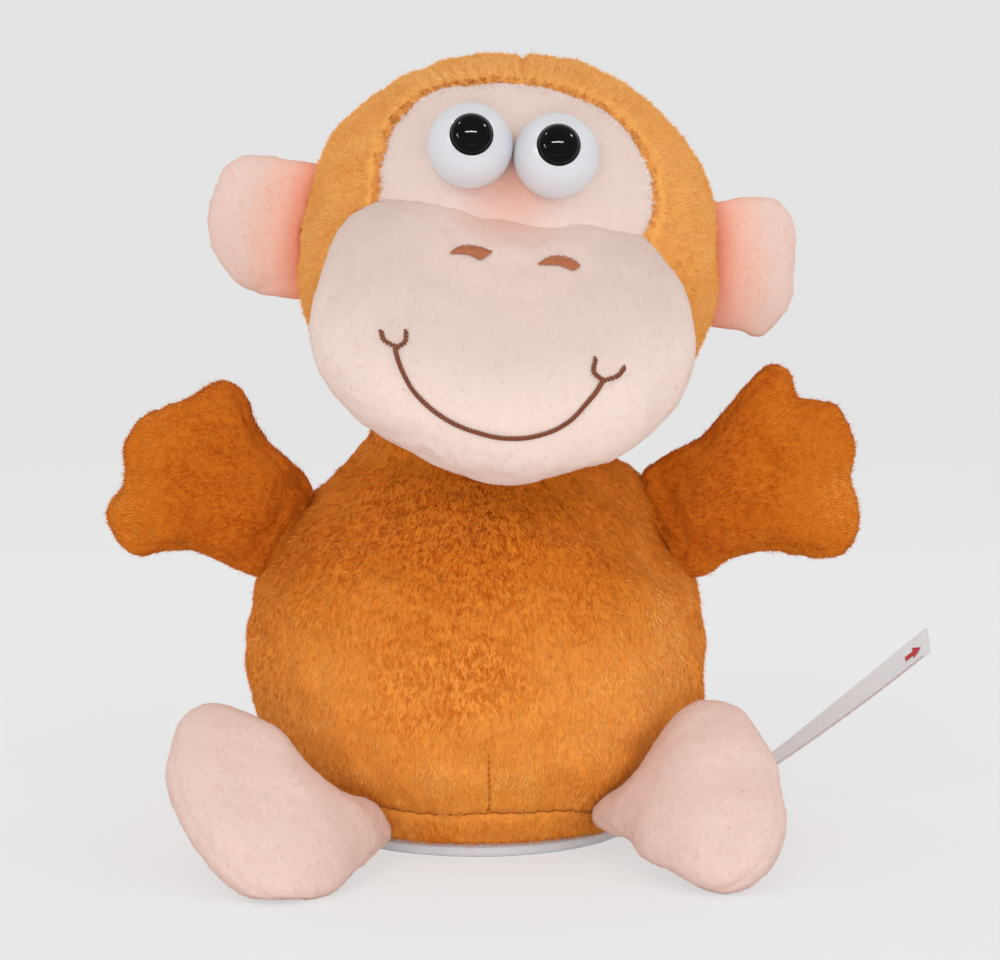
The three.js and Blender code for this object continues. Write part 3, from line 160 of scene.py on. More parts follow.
# Lumps and hollows of the stuffing: centre, radius, push
LUMPS = {
    "arm_left": [
        ((-45, -14, 84), 11, (0.4, 0, 3.4)),
        ((-74, -16, 62), 13, (0, 0, -1.9)),
        ((-59, -14, 100), 8, (1.1, 0, 0.2))],
    "arm_right": [
        ((44, -14, 85), 10, (-1.2, 0, 3.2)),
        ((42, -14, 66), 7, (-1.8, 0, 0)),
        ((74, -16, 62), 14, (0, 0, -1.9))],
    "ear_left": [((-62, 3, 138), 14, (1.6, 0, 0))],
    "ear_right": [((73, 3, 129), 14, (-1.4, 0, 0)), ((71, 3, 114), 9, (-1.6, 0, 0.6))],
    "foot_left": [((-68, -40, 30), 12, (-1.6, 0, 1.2))]}

# Kinds of fibre: number on a square millimetre, length, width, lean in degrees, smooth and random
# straying, spread of the tones, ending of the pile's name
FUR = (8.0, 1.6, 0.28, 75, 0.2, 0.12, 0.36, "_pile")
SHORT_FUR = (8.5, 1.2, 0.26, 73, 0.25, 0.16, 0.32, "_pile")
FRINGE = (3.5, 2.7, 0.34, 66, 0.3, 0.25, 0.7, "_fringe")
EDGE = (4.5, 1.7, 0.2, 58, 0.3, 0.3, 0.5, "_edge")
HALO = (0.9, 2.0, 0.13, 54, 0.35, 0.3, 0.5, "_halo")
DOWN = (7.0, 0.8, 0.16, 78, 0.3, 0.2, 0.35, "_pile")
MOST_FIBRES = 198000
ROOT_DEPTH = 0.12

# Colours as sRGB bytes
GOLD, ROSE = (255, 194, 84), (255, 226, 216)
BROWN_SKIN = (212, 122, 32)
BROWN_PILE = [(186, 82, 4), (206, 98, 8), (219, 124, 30), (236, 152, 62), (245, 174, 90)]
HOOD_PILE = [(202, 112, 36), (223, 142, 60), (236, 165, 84), (243, 180, 102), (250, 198, 130)]
# Tones of the sparse long fibres: lighter than the pile, painted rim light that makes the outlines look lit
# through
HALO_PAINTED_RIM_LIGHT = [(218, 128, 38), (234, 152, 62), (248, 184, 102)]
# Lighter ground for the lower body: partly the nap, partly painted light
BROWN_LOW_NAP_AND_PAINTED_LIGHT = (234, 150, 62)
HOOD_SKIN = (236, 165, 84)
ARM_SKIN = (200, 108, 24)
PINK_SKIN = (228, 199, 188)
PINK_PILE = [(226, 195, 182), (229, 199, 187), (232, 204, 193)]
# Ground of the eye panel from the nose's root out: painted salmon shade in the crease under and between the
# eyes, then the panel's own colour
FACE_CREASE_PAINTED_SHADE = [(220, 164, 146), (226, 186, 173), (227, 205, 195)]
# Muzzle ground from the nose's root down: painted salmon shade at the top, its own pale tone, then darker
# in the middle and lighter at the chin, painted shade and light
MUZZLE_SKIN_AND_PAINTED_SHADE = [(220, 164, 146), (223, 200, 190), (215, 193, 183), (219, 198, 189), (234, 212, 202)]
# The face's first tone is painted crease shade, its last painted light for the top of the eye panel
FACE_PILE = [(224, 172, 156), (219, 194, 184), (225, 201, 192), (232, 210, 202), (246, 230, 224)]
# The deeper salmon tones of the ears are painted shade next to the head and in a fold
EAR_PILE = [(244, 146, 114), (243, 170, 144), (241, 190, 171), (241, 202, 187)]
SMILE_THREAD = (134, 72, 46)
NOSE_THREAD = (190, 112, 72)
# Seam thread, also the dark line laid in the hem seam as painted shade
SEAM_THREAD_AND_SHADE = (182, 100, 34)

# Places where the pile looks deeper or lighter: centre, radius, and how many tones deeper it looks.
# Partly the nap lying another way, partly painted shade (under the chin and the head, where the arms
# meet the body, at the foot of the hem) and painted light (the negative ones, on the lower body and arms)
NAP_AND_PAINTED_SHADE = [
    ((30, -36, 66), 12, 0.8), ((24, -38, 74), 12, 0.7), ((2, -34, 80), 15, 1.8), ((-22, -32, 78), 13, 1.4),
    ((-36, -26, 66), 11, 1.0), ((0, -40, 66), 16, 0.8), ((-62, -18, 78), 12, 0.5), ((62, -18, 80), 12, 0.7),
    ((46, -14, 72), 9, 1.0), ((-46, -14, 70), 9, 1.0), ((-10, -46, 52), 10, 0.5), ((2, -50, 46), 14, 0.5),
    ((0, -46, 18), 18, -1.3), ((30, -38, 34), 16, -1.5), ((-30, -38, 34), 16, -1.0),
    ((42, -26, 50), 14, -1.5), ((78, -16, 78), 10, -1.7), ((-11, -46, 38), 12, 0.35),
    ((-76, -16, 74), 9, -0.8), ((0, -40, 6), 12, 0.6)]
# Painted shade on the ears: deeper salmon in a fold of the left ear and next to the head
EAR_PAINTED_SHADE = [((-46, -3, 146), 6, 1.4), ((6.9, 3, 129.5), 36, 9)]
# Painted shade in the crease under and between the eyes, and painted light (negative) on the top of the eye
# panel
FACE_PAINTED_SHADE_AND_LIGHT = [
    (NOSE_ROOT, 5, 2.4), ((-4, -41, 145), 6, 1.5), ((19, -41, 143), 7, 1.5), ((7, -26, 168), 14, -1.9)]
# Painted light on the muzzle's chin
CHIN_PAINTED_LIGHT = ((8, -36, 94), 18, -1.3)
# Painted light on the top and right of the hood, and a little painted shade on its left
HOOD_PAINTED_LIGHT_AND_SHADE = [((0, -20, 172), 16, -1.2), ((40, -20, 150), 14, -0.4), ((-30, -25, 150), 8, 0.5)]


# Numbers and curves


def linear(colour):
    """Scene colour of an sRGB byte colour."""
    share = np.array(colour, float) / 255
    value = np.where(share <= 0.04045, share / 12.92, ((share + 0.055) / 1.055) ** 2.4)
    return (*value.tolist(), 1.0)


def shade(colour, factor):
    return tuple(min(255, c * factor) for c in colour)


def grey(level, blue=1.0):
    return (level, level, level * blue, 1)


def unit(vectors):
    return vectors / np.maximum(np.linalg.norm(vectors, axis=-1, keepdims=True), 1e-9)


def in_plane(vectors, normals):
    return unit(vectors - (vectors * normals).sum(1, keepdims=True) * normals)


def hump(away, width):
    """A smooth bump of height one about zero."""
    return np.exp(-((away / width) ** 2))


def fade(share):
    """1 at 0, and down to 0 at 1."""
    return np.clip(1 - share, 0, 1)


def away_by(points, place):
    return np.linalg.norm(points - place, axis=1)


def spot(points, centre, radius):
    """A smooth bump of height one about a place."""
    return hump(away_by(points, centre), radius)


def waves(points, size, seed, count=28):
    """A smooth random field of about unit strength, which changes over size millimetres."""
    rng = np.random.default_rng(seed)
    turns = unit(rng.normal(size=(count, 3))) * (2 * math.pi / size * rng.uniform(0.6, 1.5, (count, 1)))
    phases = rng.uniform(0, 2 * math.pi, count)
    return np.sin(points @ turns.T + phases).sum(1) * math.sqrt(2 / count)


def unevenness(points, strengths, seed):
    """Smooth noise of several sizes: {size: depth}."""
    return sum(waves(points, size, seed + i) * deep for i, (size, deep) in enumerate(strengths.items()))


def circle(steps):
    return np.linspace(0, 2 * math.pi, steps, endpoint=False)


def spline(points, steps, closed=False):
    """Points on a smooth curve through the given ones."""
    given = np.array(points, float)
    if closed:
        ends = np.concatenate([given[-1:], given, given[:2]])
    else:
        ends = np.concatenate([2 * given[:1] - given[1:2], given, 2 * given[-1:] - given[-2:-1]])
    spans = len(ends) - 3
    place = np.linspace(0, spans, steps, endpoint=not closed)
    first = np.minimum(place.astype(int), spans - 1)
    t = (place - first)[:, None]
    a, b, c, d = (ends[first + i] for i in range(4))
    return 0.5 * (2 * b + (c - a) * t + (2 * a - 5 * b + 4 * c - d) * t**2 + (3 * b - a - 3 * c + d) * t**3)


def tilted(points, tilt):
    x, y, z = points.T
    c, s = math.cos(tilt), math.sin(tilt)
    return np.stack([x * c + z * s, y, z * c - x * s], 1)


def to_world(points):
    """From the head's own axes."""
    return tilted(points, HEAD_TILT) + HEAD_CENTRE


def to_head(points):
    """To the head's own axes."""
    return tilted(points - HEAD_CENTRE, -HEAD_TILT)


# Meshes


def link_object(name, data):
    made = bpy.data.objects.new(name, data)
    bpy.context.scene.collection.objects.link(made)
    return made


def make_object(name, points, faces, materials, smooth=True, slots=None):
    """A mesh object from points in millimetres and faces that all have as many corners."""
    mesh = bpy.data.meshes.new(name)
    faces = np.asarray(faces, np.int32)
    mesh.vertices.add(len(points))
    mesh.vertices.foreach_set("co", (np.asarray(points) * MM).astype(np.float32).ravel())
    mesh.loops.add(faces.size)
    mesh.loops.foreach_set("vertex_index", faces.ravel())
    mesh.polygons.add(len(faces))
    mesh.polygons.foreach_set("loop_start", np.arange(0, faces.size, faces.shape[1], dtype=np.int32))
    mesh.update(calc_edges=True)
    for material in materials:
        mesh.materials.append(material)
    mesh.polygons.foreach_set("use_smooth", np.full(len(faces), smooth))
    if slots is not None:
        mesh.polygons.foreach_set("material_index", np.asarray(slots, np.int32))
    return link_object(name, mesh)


def grid_faces(rows, columns, wrap=True):
    row = np.arange(rows - 1)[:, None] * columns
    column = np.arange(columns if wrap else columns - 1)
    a, b = row + column, row + (column + 1) % columns
    return np.stack([a, b, b + columns, a + columns], -1).reshape(-1, 4)


def vertex_values(mesh, field):
    found = np.empty(len(mesh.vertices) * 3, np.float32)
    mesh.vertices.foreach_get(field, found)
    return found.reshape(-1, 3)


def points_of(piece):
    return vertex_values(piece.data, "co").astype(float) / MM


def normals_of(piece):
    return vertex_values(piece.data, "normal").astype(float)


def triangles_of(piece):
    mesh = piece.data
    mesh.calc_loop_triangles()
    corners = np.empty(len(mesh.loop_triangles) * 3, np.int32)
    mesh.loop_triangles.foreach_get("vertices", corners)
    return corners.reshape(-1, 3)


def tree_of(piece):
    """The piece's triangles in millimetres, for rays and nearest points."""
    return BVHTree.FromPolygons(points_of(piece).tolist(), triangles_of(piece).tolist())


def box_of(node):
    return [np.array(corner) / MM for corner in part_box(node)]


def move_points(piece, points):
    piece.data.vertices.foreach_set("co", (points * MM).astype(np.float32).ravel())
    piece.data.update()


def push_out(piece, depth):
    """Moves the skin along its normals."""
    move_points(piece, points_of(piece) + normals_of(piece) * depth[:, None])


def rumple(piece, strengths, seed):
    push_out(piece, unevenness(points_of(piece), strengths, seed))


def covered(points, pieces, margin=0.0):
    """Which points lie inside one of the closed pieces."""
    hidden = np.zeros(len(points), bool)
    for piece in pieces:
        own = points_of(piece)
        near = np.all((points > own.min(0) - margin) & (points < own.max(0) + margin), axis=1) & ~hidden
        tree = tree_of(piece)
        for i in np.flatnonzero(near):
            place, normal, _, _ = tree.find_nearest(points[i])
            hidden[i] = (Vector(points[i]) - place).dot(normal) < margin
    return hidden


def attach(piece, body, nodes):
    """The body that carries the piece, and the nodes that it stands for."""
    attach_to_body(piece, body)
    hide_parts(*nodes)


def settle(piece, body, material, nodes):
    """Attaches a stuffed piece, with its material."""
    piece.data.materials.append(material)
    attach(piece, body, nodes)


# Stuffed skins


def evaluated_mesh(piece):
    bpy.context.view_layer.update()
    return bpy.data.meshes.new_from_object(piece.evaluated_get(bpy.context.evaluated_depsgraph_get()))


def apply_modifiers(piece):
    mesh = evaluated_mesh(piece)
    piece.modifiers.clear()
    piece.data = mesh


def soft_copy(node, voxel, rounds, grow, root=None, reach=0.0, fuller=0.0):
    """The node's solid as a stuffed skin. It is drawn reach millimetres to what it is sewn to."""
    piece = link_object(node + "_cover", frame["nodes"][node].data.copy())
    remesh = piece.modifiers.new("remesh", "REMESH")
    remesh.mode = "VOXEL"
    remesh.voxel_size = voxel * MM
    smooth = piece.modifiers.new("smooth", "SMOOTH")
    smooth.factor = 0.5
    smooth.iterations = rounds
    apply_modifiers(piece)
    piece.data.materials.clear()
    if root is None:
        inflate(piece, grow, np.zeros(len(piece.data.vertices), bool))
    else:
        points = points_of(piece)
        near = tree_of(root)
        gap = np.array([near.find_nearest(point)[3] for point in points])
        inward = unit(points_of(root).mean(0) - points.mean(0))
        move_points(piece, points + inward * reach * hump(gap, 5)[:, None])
        inflate(piece, grow, gap < 2.5)
    low, high = box_of(node)
    points = points_of(piece) + normals_of(piece) * fuller
    size = points.max(0) - points.min(0)
    middle = (points.max(0) + points.min(0)) / 2
    move_points(piece, (points - middle) * np.clip((high - low) / size, 0.96, 1.12) + (low + high) / 2)
    finer = piece.modifiers.new("finer", "SUBSURF")
    finer.levels = 1
    apply_modifiers(piece)
    piece.data.polygons.foreach_set("use_smooth", np.full(len(piece.data.polygons), True))
    return piece


def inflate(piece, grow, held):
    """Fills the skin by cloth simulation, grow millimetres at most, with its sewn end held."""
    start = points_of(piece)
    move_points(piece, start * CLOTH_SCALE)
    group = piece.vertex_groups.new(name="held")
    group.add(np.flatnonzero(held).tolist(), 1.0, "REPLACE")
    cloth = piece.modifiers.new("filling", "CLOTH")
    cloth.settings.use_pressure = True
    cloth.settings.uniform_pressure_force = CLOTH_PRESSURE
    cloth.settings.effector_weights.gravity = 0
    cloth.settings.vertex_group_mass = "held"
    scene = bpy.context.scene
    for step in range(1, CLOTH_FRAMES + 1):
        scene.frame_set(step)
    mesh = evaluated_mesh(piece)
    piece.modifiers.clear()
    scene.frame_set(1)
    move = vertex_values(mesh, "co") / MM / CLOTH_SCALE - start
    length = np.linalg.norm(move, axis=1, keepdims=True)
    move_points(piece, start + move * np.minimum(1, grow / np.maximum(length, 1e-6)))


def rim_seam(piece, depth, inset, width=0.8, ridge=0.75):
    """The seam round a flat stuffed piece and, where it is inset, the ridge of its allowance inside."""
    points = points_of(piece)
    middle = points.mean(0)
    _, axes = np.linalg.eigh(np.cov((points - middle).T))
    flat = axes[:, 0] * np.sign(axes[1, 0])
    away = (points - middle) @ flat
    rim = 1 - np.abs(normals_of(piece) @ flat) ** 2
    pucker = 0.5 + 0.5 * np.clip(waves(points, 4.0, 17), -1, 1)
    push = (depth * hump(away, width) + 0.3 * depth * pucker * hump(away, 3 * width)) * rim
    if inset:
        plane = points @ axes[:, 1:]
        edge = plane[rim > 0.96]
        tree = KDTree(len(edge))
        for i, (u, v) in enumerate(edge):
            tree.insert((u, v, 0), i)
        tree.balance()
        gap = np.array([tree.find((u, v, 0))[2] for u, v in plane]) + 0.25 * waves(points, 5.0, 19)
        crest = hump(gap - inset, 0.55) * (0.8 + 0.3 * pucker) - 0.5 * hump(gap - inset + 1.2, 0.8)
        push += (1 - rim) * ridge * crest
    push_out(piece, -push)


def settle_foot(piece, squeeze, forward, drop):
    """Presses a foot down a little, so that its sole spreads forward, and lowers its narrow end."""
    x, y, z = points_of(piece).T
    side = np.abs(x - 4)
    z = z - drop * fade((side - side.min()) / 22) ** 1.3
    y = y - forward * fade(z / 40) * np.clip((-30 - y) / 20, 0, 1)
    move_points(piece, np.stack([x, y, z * squeeze], 1))


def make_limb(name, root, finish):
    """An arm, a foot or an ear, sewn to its root."""
    kind, side = name.split("_")
    body, slot, voxel, reach, fuller, seam, inset, bumps = LIMBS[kind]
    piece = soft_copy(name, voxel, 4, 1.1, root, reach[side == "right"], fuller)
    if name in SOLES:
        settle_foot(piece, *SOLES[name])
    for centre, radius, push in LUMPS.get(name, ()):
        points = points_of(piece)
        move_points(piece, points + spot(points, centre, radius)[:, None] * push)
    rim_seam(piece, seam, inset)
    rumple(piece, bumps, 61)
    points = points_of(piece)
    points[:, 2] = np.maximum(points[:, 2], 0.05)
    move_points(piece, points)
    settle(piece, body, finish, [name])
    return piece


def make_muzzle(finish):
    """The big pale muzzle, a little flatter at the chin than its solid."""
    piece = soft_copy("muzzle", 1.6, 12, 0.9)
    local = to_head(points_of(piece))
    local[:, 2] += np.clip(-22 - local[:, 2], 0, None) * 0.06
    move_points(piece, to_world(local))
    rumple(piece, {16: 0.25, 5: 0.06}, 51)
    settle(piece, "head", finish, ["muzzle"])
    return piece


# Pile: short fibres, each one narrow triangle that leans along the nap


def scattered(piece, density, rng):
    """Random places on the piece, and its normals there."""
    corners = triangles_of(piece)
    points, normals = points_of(piece), normals_of(piece)
    a, b, c = (points[corners[:, i]] for i in range(3))
    area = np.linalg.norm(np.cross(b - a, c - a), axis=1) / 2
    count = int(area.sum() * density)
    chosen = corners[rng.choice(len(corners), count, p=area / area.sum())]
    share = rng.dirichlet((1, 1, 1), count)[:, :, None]
    places = sum(points[chosen[:, i]] * share[:, i] for i in range(3))
    return places, unit(sum(normals[chosen[:, i]] * share[:, i] for i in range(3)))


def add_pile(piece, body, tones, kind, level, nap, seed, under, bare=None, places=(), trim=None):
    """Fibres of a kind, about one tone, drawn out along nap, deeper or lighter in places, where the places
    hold nap and painted shade and light. None grow where bare, or under the pieces given with their
    margins."""
    density, length, width, lean, stir, stray, spread, ending = kind
    rng = np.random.default_rng(seed)
    roots, normal = scattered(piece, density, rng)
    hidden = bare(roots) if bare else np.zeros(len(roots), bool)
    for pieces, margin in under:
        hidden |= covered(roots, pieces, margin)
    roots, normal = roots[~hidden][:MOST_FIBRES], normal[~hidden][:MOST_FIBRES]
    count = len(roots)
    flow = in_plane(unit(nap(roots)), normal)
    swirl = [waves(roots, 9.0, seed + k) + 0.5 * waves(roots, 2.2, seed + 5 + k) for k in (1, 2, 3)]
    lay = in_plane(flow + stir * np.stack(swirl, 1) + stray * rng.normal(size=(count, 3)), normal)
    tilt = np.radians(lean + 6 * waves(roots, 2.4, seed + 9) + 6 * rng.normal(size=count))[:, None]
    along = normal * np.cos(tilt) + lay * np.sin(tilt)
    roll = rng.normal(0, 0.4, (count, 1))
    across = unit(np.cross(along, normal))
    across = across * np.cos(roll) + np.cross(along, across) * np.sin(roll)
    reach = length * rng.uniform(0.7, 1.15, (count, 1))
    if trim:
        reach *= trim(roots)[:, None]
    half = across * width / 2 * rng.uniform(0.7, 1.3, (count, 1))
    low = roots - normal * ROOT_DEPTH
    fibres = np.stack([low - half, low + half, low + along * reach], 1).reshape(-1, 3)
    fibres[:, 2] = np.maximum(fibres[:, 2], 0.02)
    # locks: the tone varies quickly across the nap and slowly along it
    drawn = roots - flow * (roots * flow).sum(1, keepdims=True) * 0.7
    locks = 0.5 * waves(roots, 14.0, seed + 21) + 0.8 * waves(drawn, 1.1, seed + 22)
    tone = level + spread * (locks + 0.45 * rng.normal(size=count))
    for centre, radius, deeper in places:
        tone -= deeper * spot(roots, centre, radius)
    slots = np.clip(np.round(tone), 0, len(tones) - 1)
    name = piece.name.replace("_cover", ending)
    faces = np.arange(count * 3).reshape(-1, 3)
    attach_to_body(make_object(name, fibres, faces, tones, smooth=False, slots=slots), body)


# Materials


class Nodes:
    """A node tree, and short ways to add to it."""

    def __init__(self, tree):
        self.tree = tree

    def add(self, kind, inputs=(), **settings):
        """A shader node with values for some of its inputs."""
        node = self.tree.nodes.new("ShaderNode" + kind)
        for key, value in settings.items():
            setattr(node, key, value)
        for key, value in dict(inputs).items():
            node.inputs[key].default_value = value
        return node

    def link(self, start, end):
        self.tree.links.new(start, end)

    def place(self):
        return self.add("TexCoord").outputs["Object"]

    def share(self, value, start, end, low=0.0, high=1.0):
        """Low to high while the value goes from start to end."""
        ends = {"From Min": start, "From Max": end, "To Min": low, "To Max": high}
        node = self.add("MapRange", ends)
        self.link(value, node.inputs["Value"])
        return node.outputs["Result"]

    def mix(self, factor, first, second):
        """A mix of two shaders: the first where the factor is 0."""
        node = self.add("MixShader")
        for i, output in enumerate((factor, first, second)):
            self.link(output, node.inputs[i])
        return node.outputs["Shader"]


class Finish(Nodes):
    """A material with one Principled shader, and what feeds it."""

    def __init__(self, name, colour, roughness, **sockets):
        self.material = bpy.data.materials.new(name)
        self.material.use_nodes = True
        super().__init__(self.material.node_tree)
        self.shader = self.tree.nodes["Principled BSDF"]
        self.shader.inputs["Base Color"].default_value = linear(colour)
        self.shader.inputs["Roughness"].default_value = roughness
        for socket, value in sockets.items():
            self.shader.inputs[socket.replace("_", " ").title().replace("Ior", "IOR")].default_value = value

    def noise(self, size, detail=3.0, stretch=(1, 1, 1)):
        """Noise over size millimetres; stretch draws it out along an axis."""
        mapping = self.add("Mapping", {"Scale": [1 / (size * MM * s) for s in stretch]})
        self.link(self.place(), mapping.inputs["Vector"])
        noise = self.add("TexNoise", {"Scale": 1.0, "Detail": detail})
        self.link(mapping.outputs["Vector"], noise.inputs["Vector"])
        return noise.outputs["Fac"]

    def ramp(self, factor, stops):
        node = self.add("ValToRGB")
        elements = node.color_ramp.elements
        while len(elements) < len(stops):
            elements.new(0.5)
        for element, (place, colour) in zip(elements, stops):
            element.position = place
            element.color = linear(colour)
        self.link(factor, node.inputs["Fac"])
        return node.outputs["Color"]

    def bump(self, height, distance):
        node = self.add("Bump", {"Distance": distance * MM, "Strength": 1.0})
        self.link(height, node.inputs["Height"])
        self.feed(node.outputs["Normal"], "Normal")

    def feed(self, output, socket):
        self.link(output, self.shader.inputs[socket])

    def tint(self, factor, stops):
        self.feed(self.ramp(factor, stops), "Base Color")

    def roughen(self, noise, low, high):
        """Roughness from low to high over the noise's middle range."""
        self.feed(self.share(noise, 0.3, 0.7, low, high), "Roughness")


def plush_ground(name, colour, tint):
    return Finish(
        name, colour, 0.9, sheen_weight=0.1, sheen_roughness=0.5, sheen_tint=linear(tint),
        specular_ior_level=0.1)


def streaks_of(colour, dark, bright):
    """Stops for a ramp from a darker to a brighter shade of the colour."""
    return [(0.3, shade(colour, dark)), (0.5, colour), (0.72, shade(colour, bright))]


def plush_skin(name, colour, tint, contrast, lower=None):
    """The ground under the pile, with nap streaks, and of another colour lower down where one is given
    (on the body a lighter one, partly nap and partly painted light).
    """
    made = plush_ground(name, colour, tint)
    streaks = made.noise(0.9, 4.0, (1, 1, 2.6))
    streaked = made.ramp(streaks, streaks_of(colour, 1 - contrast, 1 + 0.7 * contrast))
    if lower:
        place = made.add("SeparateXYZ")
        made.link(made.place(), place.inputs["Vector"])
        mix = made.add("Mix", data_type="RGBA")
        made.link(made.share(place.outputs["Z"], 38 * MM, 66 * MM), mix.inputs["Factor"])
        made.link(made.ramp(streaks, streaks_of(lower, 1 - contrast, 1.05)), mix.inputs["A"])
        made.link(streaked, mix.inputs["B"])
        streaked = mix.outputs["Result"]
    made.feed(streaked, "Base Color")
    made.roughen(streaks, 0.96, 0.82)
    made.bump(streaks, 1.5 * contrast)
    return made.material


def painted_shading_ground(name, colours, tint, centre, near, far):
    """Ground that goes through the colours from near to far millimetres off a centre, used for painted
    shade
    and light: in the face's crease, down the muzzle and next to the head.
    """
    made = plush_ground(name, colours[-1], tint)
    off = made.add("VectorMath", operation="DISTANCE")
    made.link(made.place(), off.inputs[0])
    off.inputs[1].default_value = np.array(centre) * MM
    stops = [(i / (len(colours) - 1), colour) for i, colour in enumerate(colours)]
    made.tint(made.share(off.outputs["Value"], near * MM, far * MM), stops)
    made.bump(made.noise(0.9), 0.04)
    return made.material


def pile_tones(name, colours, tint, sheen):
    """One material for each tone of the fibres; the sheen varies with noise."""
    tones = []
    for i, colour in enumerate(colours):
        made = Finish(
            f"{name}_{i + 1}", colour, 0.75, sheen_roughness=0.35, sheen_tint=linear(tint),
            specular_ior_level=0.1)
        made.feed(made.share(made.noise(2.0), 0.3, 0.7, 0.5 * sheen, sheen), "Sheen Weight")
        tones.append(made.material)
    return tones


def moulded(name, colour, roughness):
    """Moulded plastic with a fine orange peel and a few handling marks."""
    made = Finish(name, colour, roughness)
    made.tint(made.noise(22.0), [(0.3, shade(colour, 0.97)), (0.7, colour)])
    made.roughen(made.noise(5.0, 5.0), roughness - 0.05, roughness + 0.08)
    made.bump(made.noise(0.6), 0.02)
    return made.material


def metal(name, colour, roughness, stretch):
    """Drawn or turned metal with fine lines along its length."""
    made = Finish(name, colour, roughness, metallic=1.0)
    lines = made.noise(0.25, 3.0, stretch)
    made.tint(lines, [(0.3, shade(colour, 0.9)), (0.7, colour)])
    made.roughen(lines, roughness - 0.06, roughness + 0.1)
    made.bump(lines, 0.01)
    return made.material


def board_finish():
    """Solder mask with copper tracks that show through it."""
    made = Finish("solder_mask", (30, 104, 58), 0.4)
    brick = made.add("TexBrick", {
        "Scale": 180.0, "Mortar Size": 0.03, "Mortar": linear((86, 140, 84)),
        "Color1": linear((24, 92, 50)), "Color2": linear((32, 110, 60))})
    made.link(made.place(), brick.inputs["Vector"])
    made.feed(brick.outputs["Color"], "Base Color")
    made.bump(brick.outputs["Fac"], 0.03)
    return made.material


def film_finish():
    """Clear polyester film with fine scratches."""
    made = Finish("clear_film", (232, 236, 240), 0.16, alpha=0.55, specular_ior_level=0.7)
    made.roughen(made.noise(0.5, 4.0, (1, 8, 1)), 0.1, 0.28)
    return made.material


def thread_finish(name, colour):
    """Shiny embroidery thread: fine twist lines across each stitch."""
    made = Finish(name, colour, 0.6, sheen_weight=0.05, specular_ior_level=0.2)
    twist = made.noise(0.18, 2.0)
    made.tint(twist, [(0.3, shade(colour, 0.72)), (0.55, colour), (0.8, shade(colour, 1.2))])
    made.roughen(twist, 0.4, 0.62)
    made.bump(twist, 0.06)
    return made.material


def eye_white_finish():
    made = Finish(
        "eye_white_finish", (216, 216, 221), 0.3, subsurface_weight=0.15, coat_weight=0.25,
        subsurface_scale=1.5 * MM)
    made.roughen(made.noise(6.0), 0.28, 0.34)
    return made.material


def pupil_finish():
    made = Finish("pupil_finish", (3, 3, 4), 0.05, specular_ior_level=0.12)
    made.roughen(made.noise(2.0), 0.03, 0.07)
    return made.material


def dress_nodes():
    """Finishes for the CAD nodes that stay, by the record's material slot."""
    finishes = {
        "base_plastic": moulded("base_white", (216, 217, 222), 0.28),
        "grey_plastic": moulded("housing_grey", (150, 153, 160), 0.5),
        "black_plastic": moulded("moulded_black", (28, 28, 31), 0.45),
        "gear_plastic": moulded("acetal", (232, 230, 220), 0.42),
        "steel": metal("plated_steel", (196, 198, 202), 0.28, (6, 1, 1)),
        "brass": metal("turned_brass", (206, 166, 92), 0.3, (1, 6, 6)),
        "board": board_finish(),
        "cell_sleeve": moulded("cell_sleeve", (66, 98, 152), 0.35),
    }
    for part in frame["record"]["subparts"]:
        finish = finishes.get(part["material_slot"])
        if finish:
            for slot in frame["nodes"][part["node"]].material_slots:
                slot.material = finish


# Camera, floor, world and lamps


def make_camera():
    data = bpy.data.cameras.new("camera")
    camera = link_object("camera", data)
    camera.location = Vector(CAMERA_PLACE) * MM
    camera.rotation_euler = (math.radians(90 - CAMERA_PITCH), 0, 0)
    data.lens = CAMERA_LENS
    data.sensor_width = 36
    data.clip_start = 0.01
    data.clip_end = 50
    bpy.context.scene.camera = camera


def paper_finish(far):
    """Pale paper: lit and glowing for the camera near the toy, plain far off, see-through from below."""
    made = Finish("floor_paper", (236, 236, 236), 0.75)
    made.tint(made.noise(1.2), [(0.3, (235, 235, 235)), (0.7, (237, 237, 237))])
    lit = made.add("BsdfDiffuse", {"Color": grey(FLOOR_LIT)})
    glow = made.add("Emission", {"Color": grey(FLOOR_GLOW, 1.004)})
    both = made.add("AddShader")
    made.link(lit.outputs["BSDF"], both.inputs[0])
    made.link(glow.outputs["Emission"], both.inputs[1])
    plain = made.add("Emission", {"Color": far})
    off = made.add("VectorMath", operation="LENGTH")
    made.link(made.place(), off.inputs[0])
    share = made.share(off.outputs["Value"], FLOOR_NEAR * MM, FLOOR_FAR * MM)
    shown = made.mix(share, both.outputs["Shader"], plain.outputs["Emission"])
    by_camera = made.add("LightPath").outputs["Is Camera Ray"]
    shown = made.mix(by_camera, made.shader.outputs["BSDF"], shown)
    from_below = made.add("NewGeometry").outputs["Backfacing"]
    shown = made.mix(from_below, shown, made.add("BsdfTransparent").outputs["BSDF"])
    made.link(shown, made.tree.nodes["Material Output"].inputs["Surface"])
    return made.material


def make_floor(far):
    turn = circle(64)
    rings = [(r * np.cos(turn), r * np.sin(turn), 0 * turn) for r in (FLOOR_HOLE, FLOOR_EDGE)]
    corners = np.stack(rings).transpose(0, 2, 1).reshape(-1, 3)
    floor = make_object("floor", corners, grid_faces(2, len(turn))[:, ::-1], [paper_finish(far)])


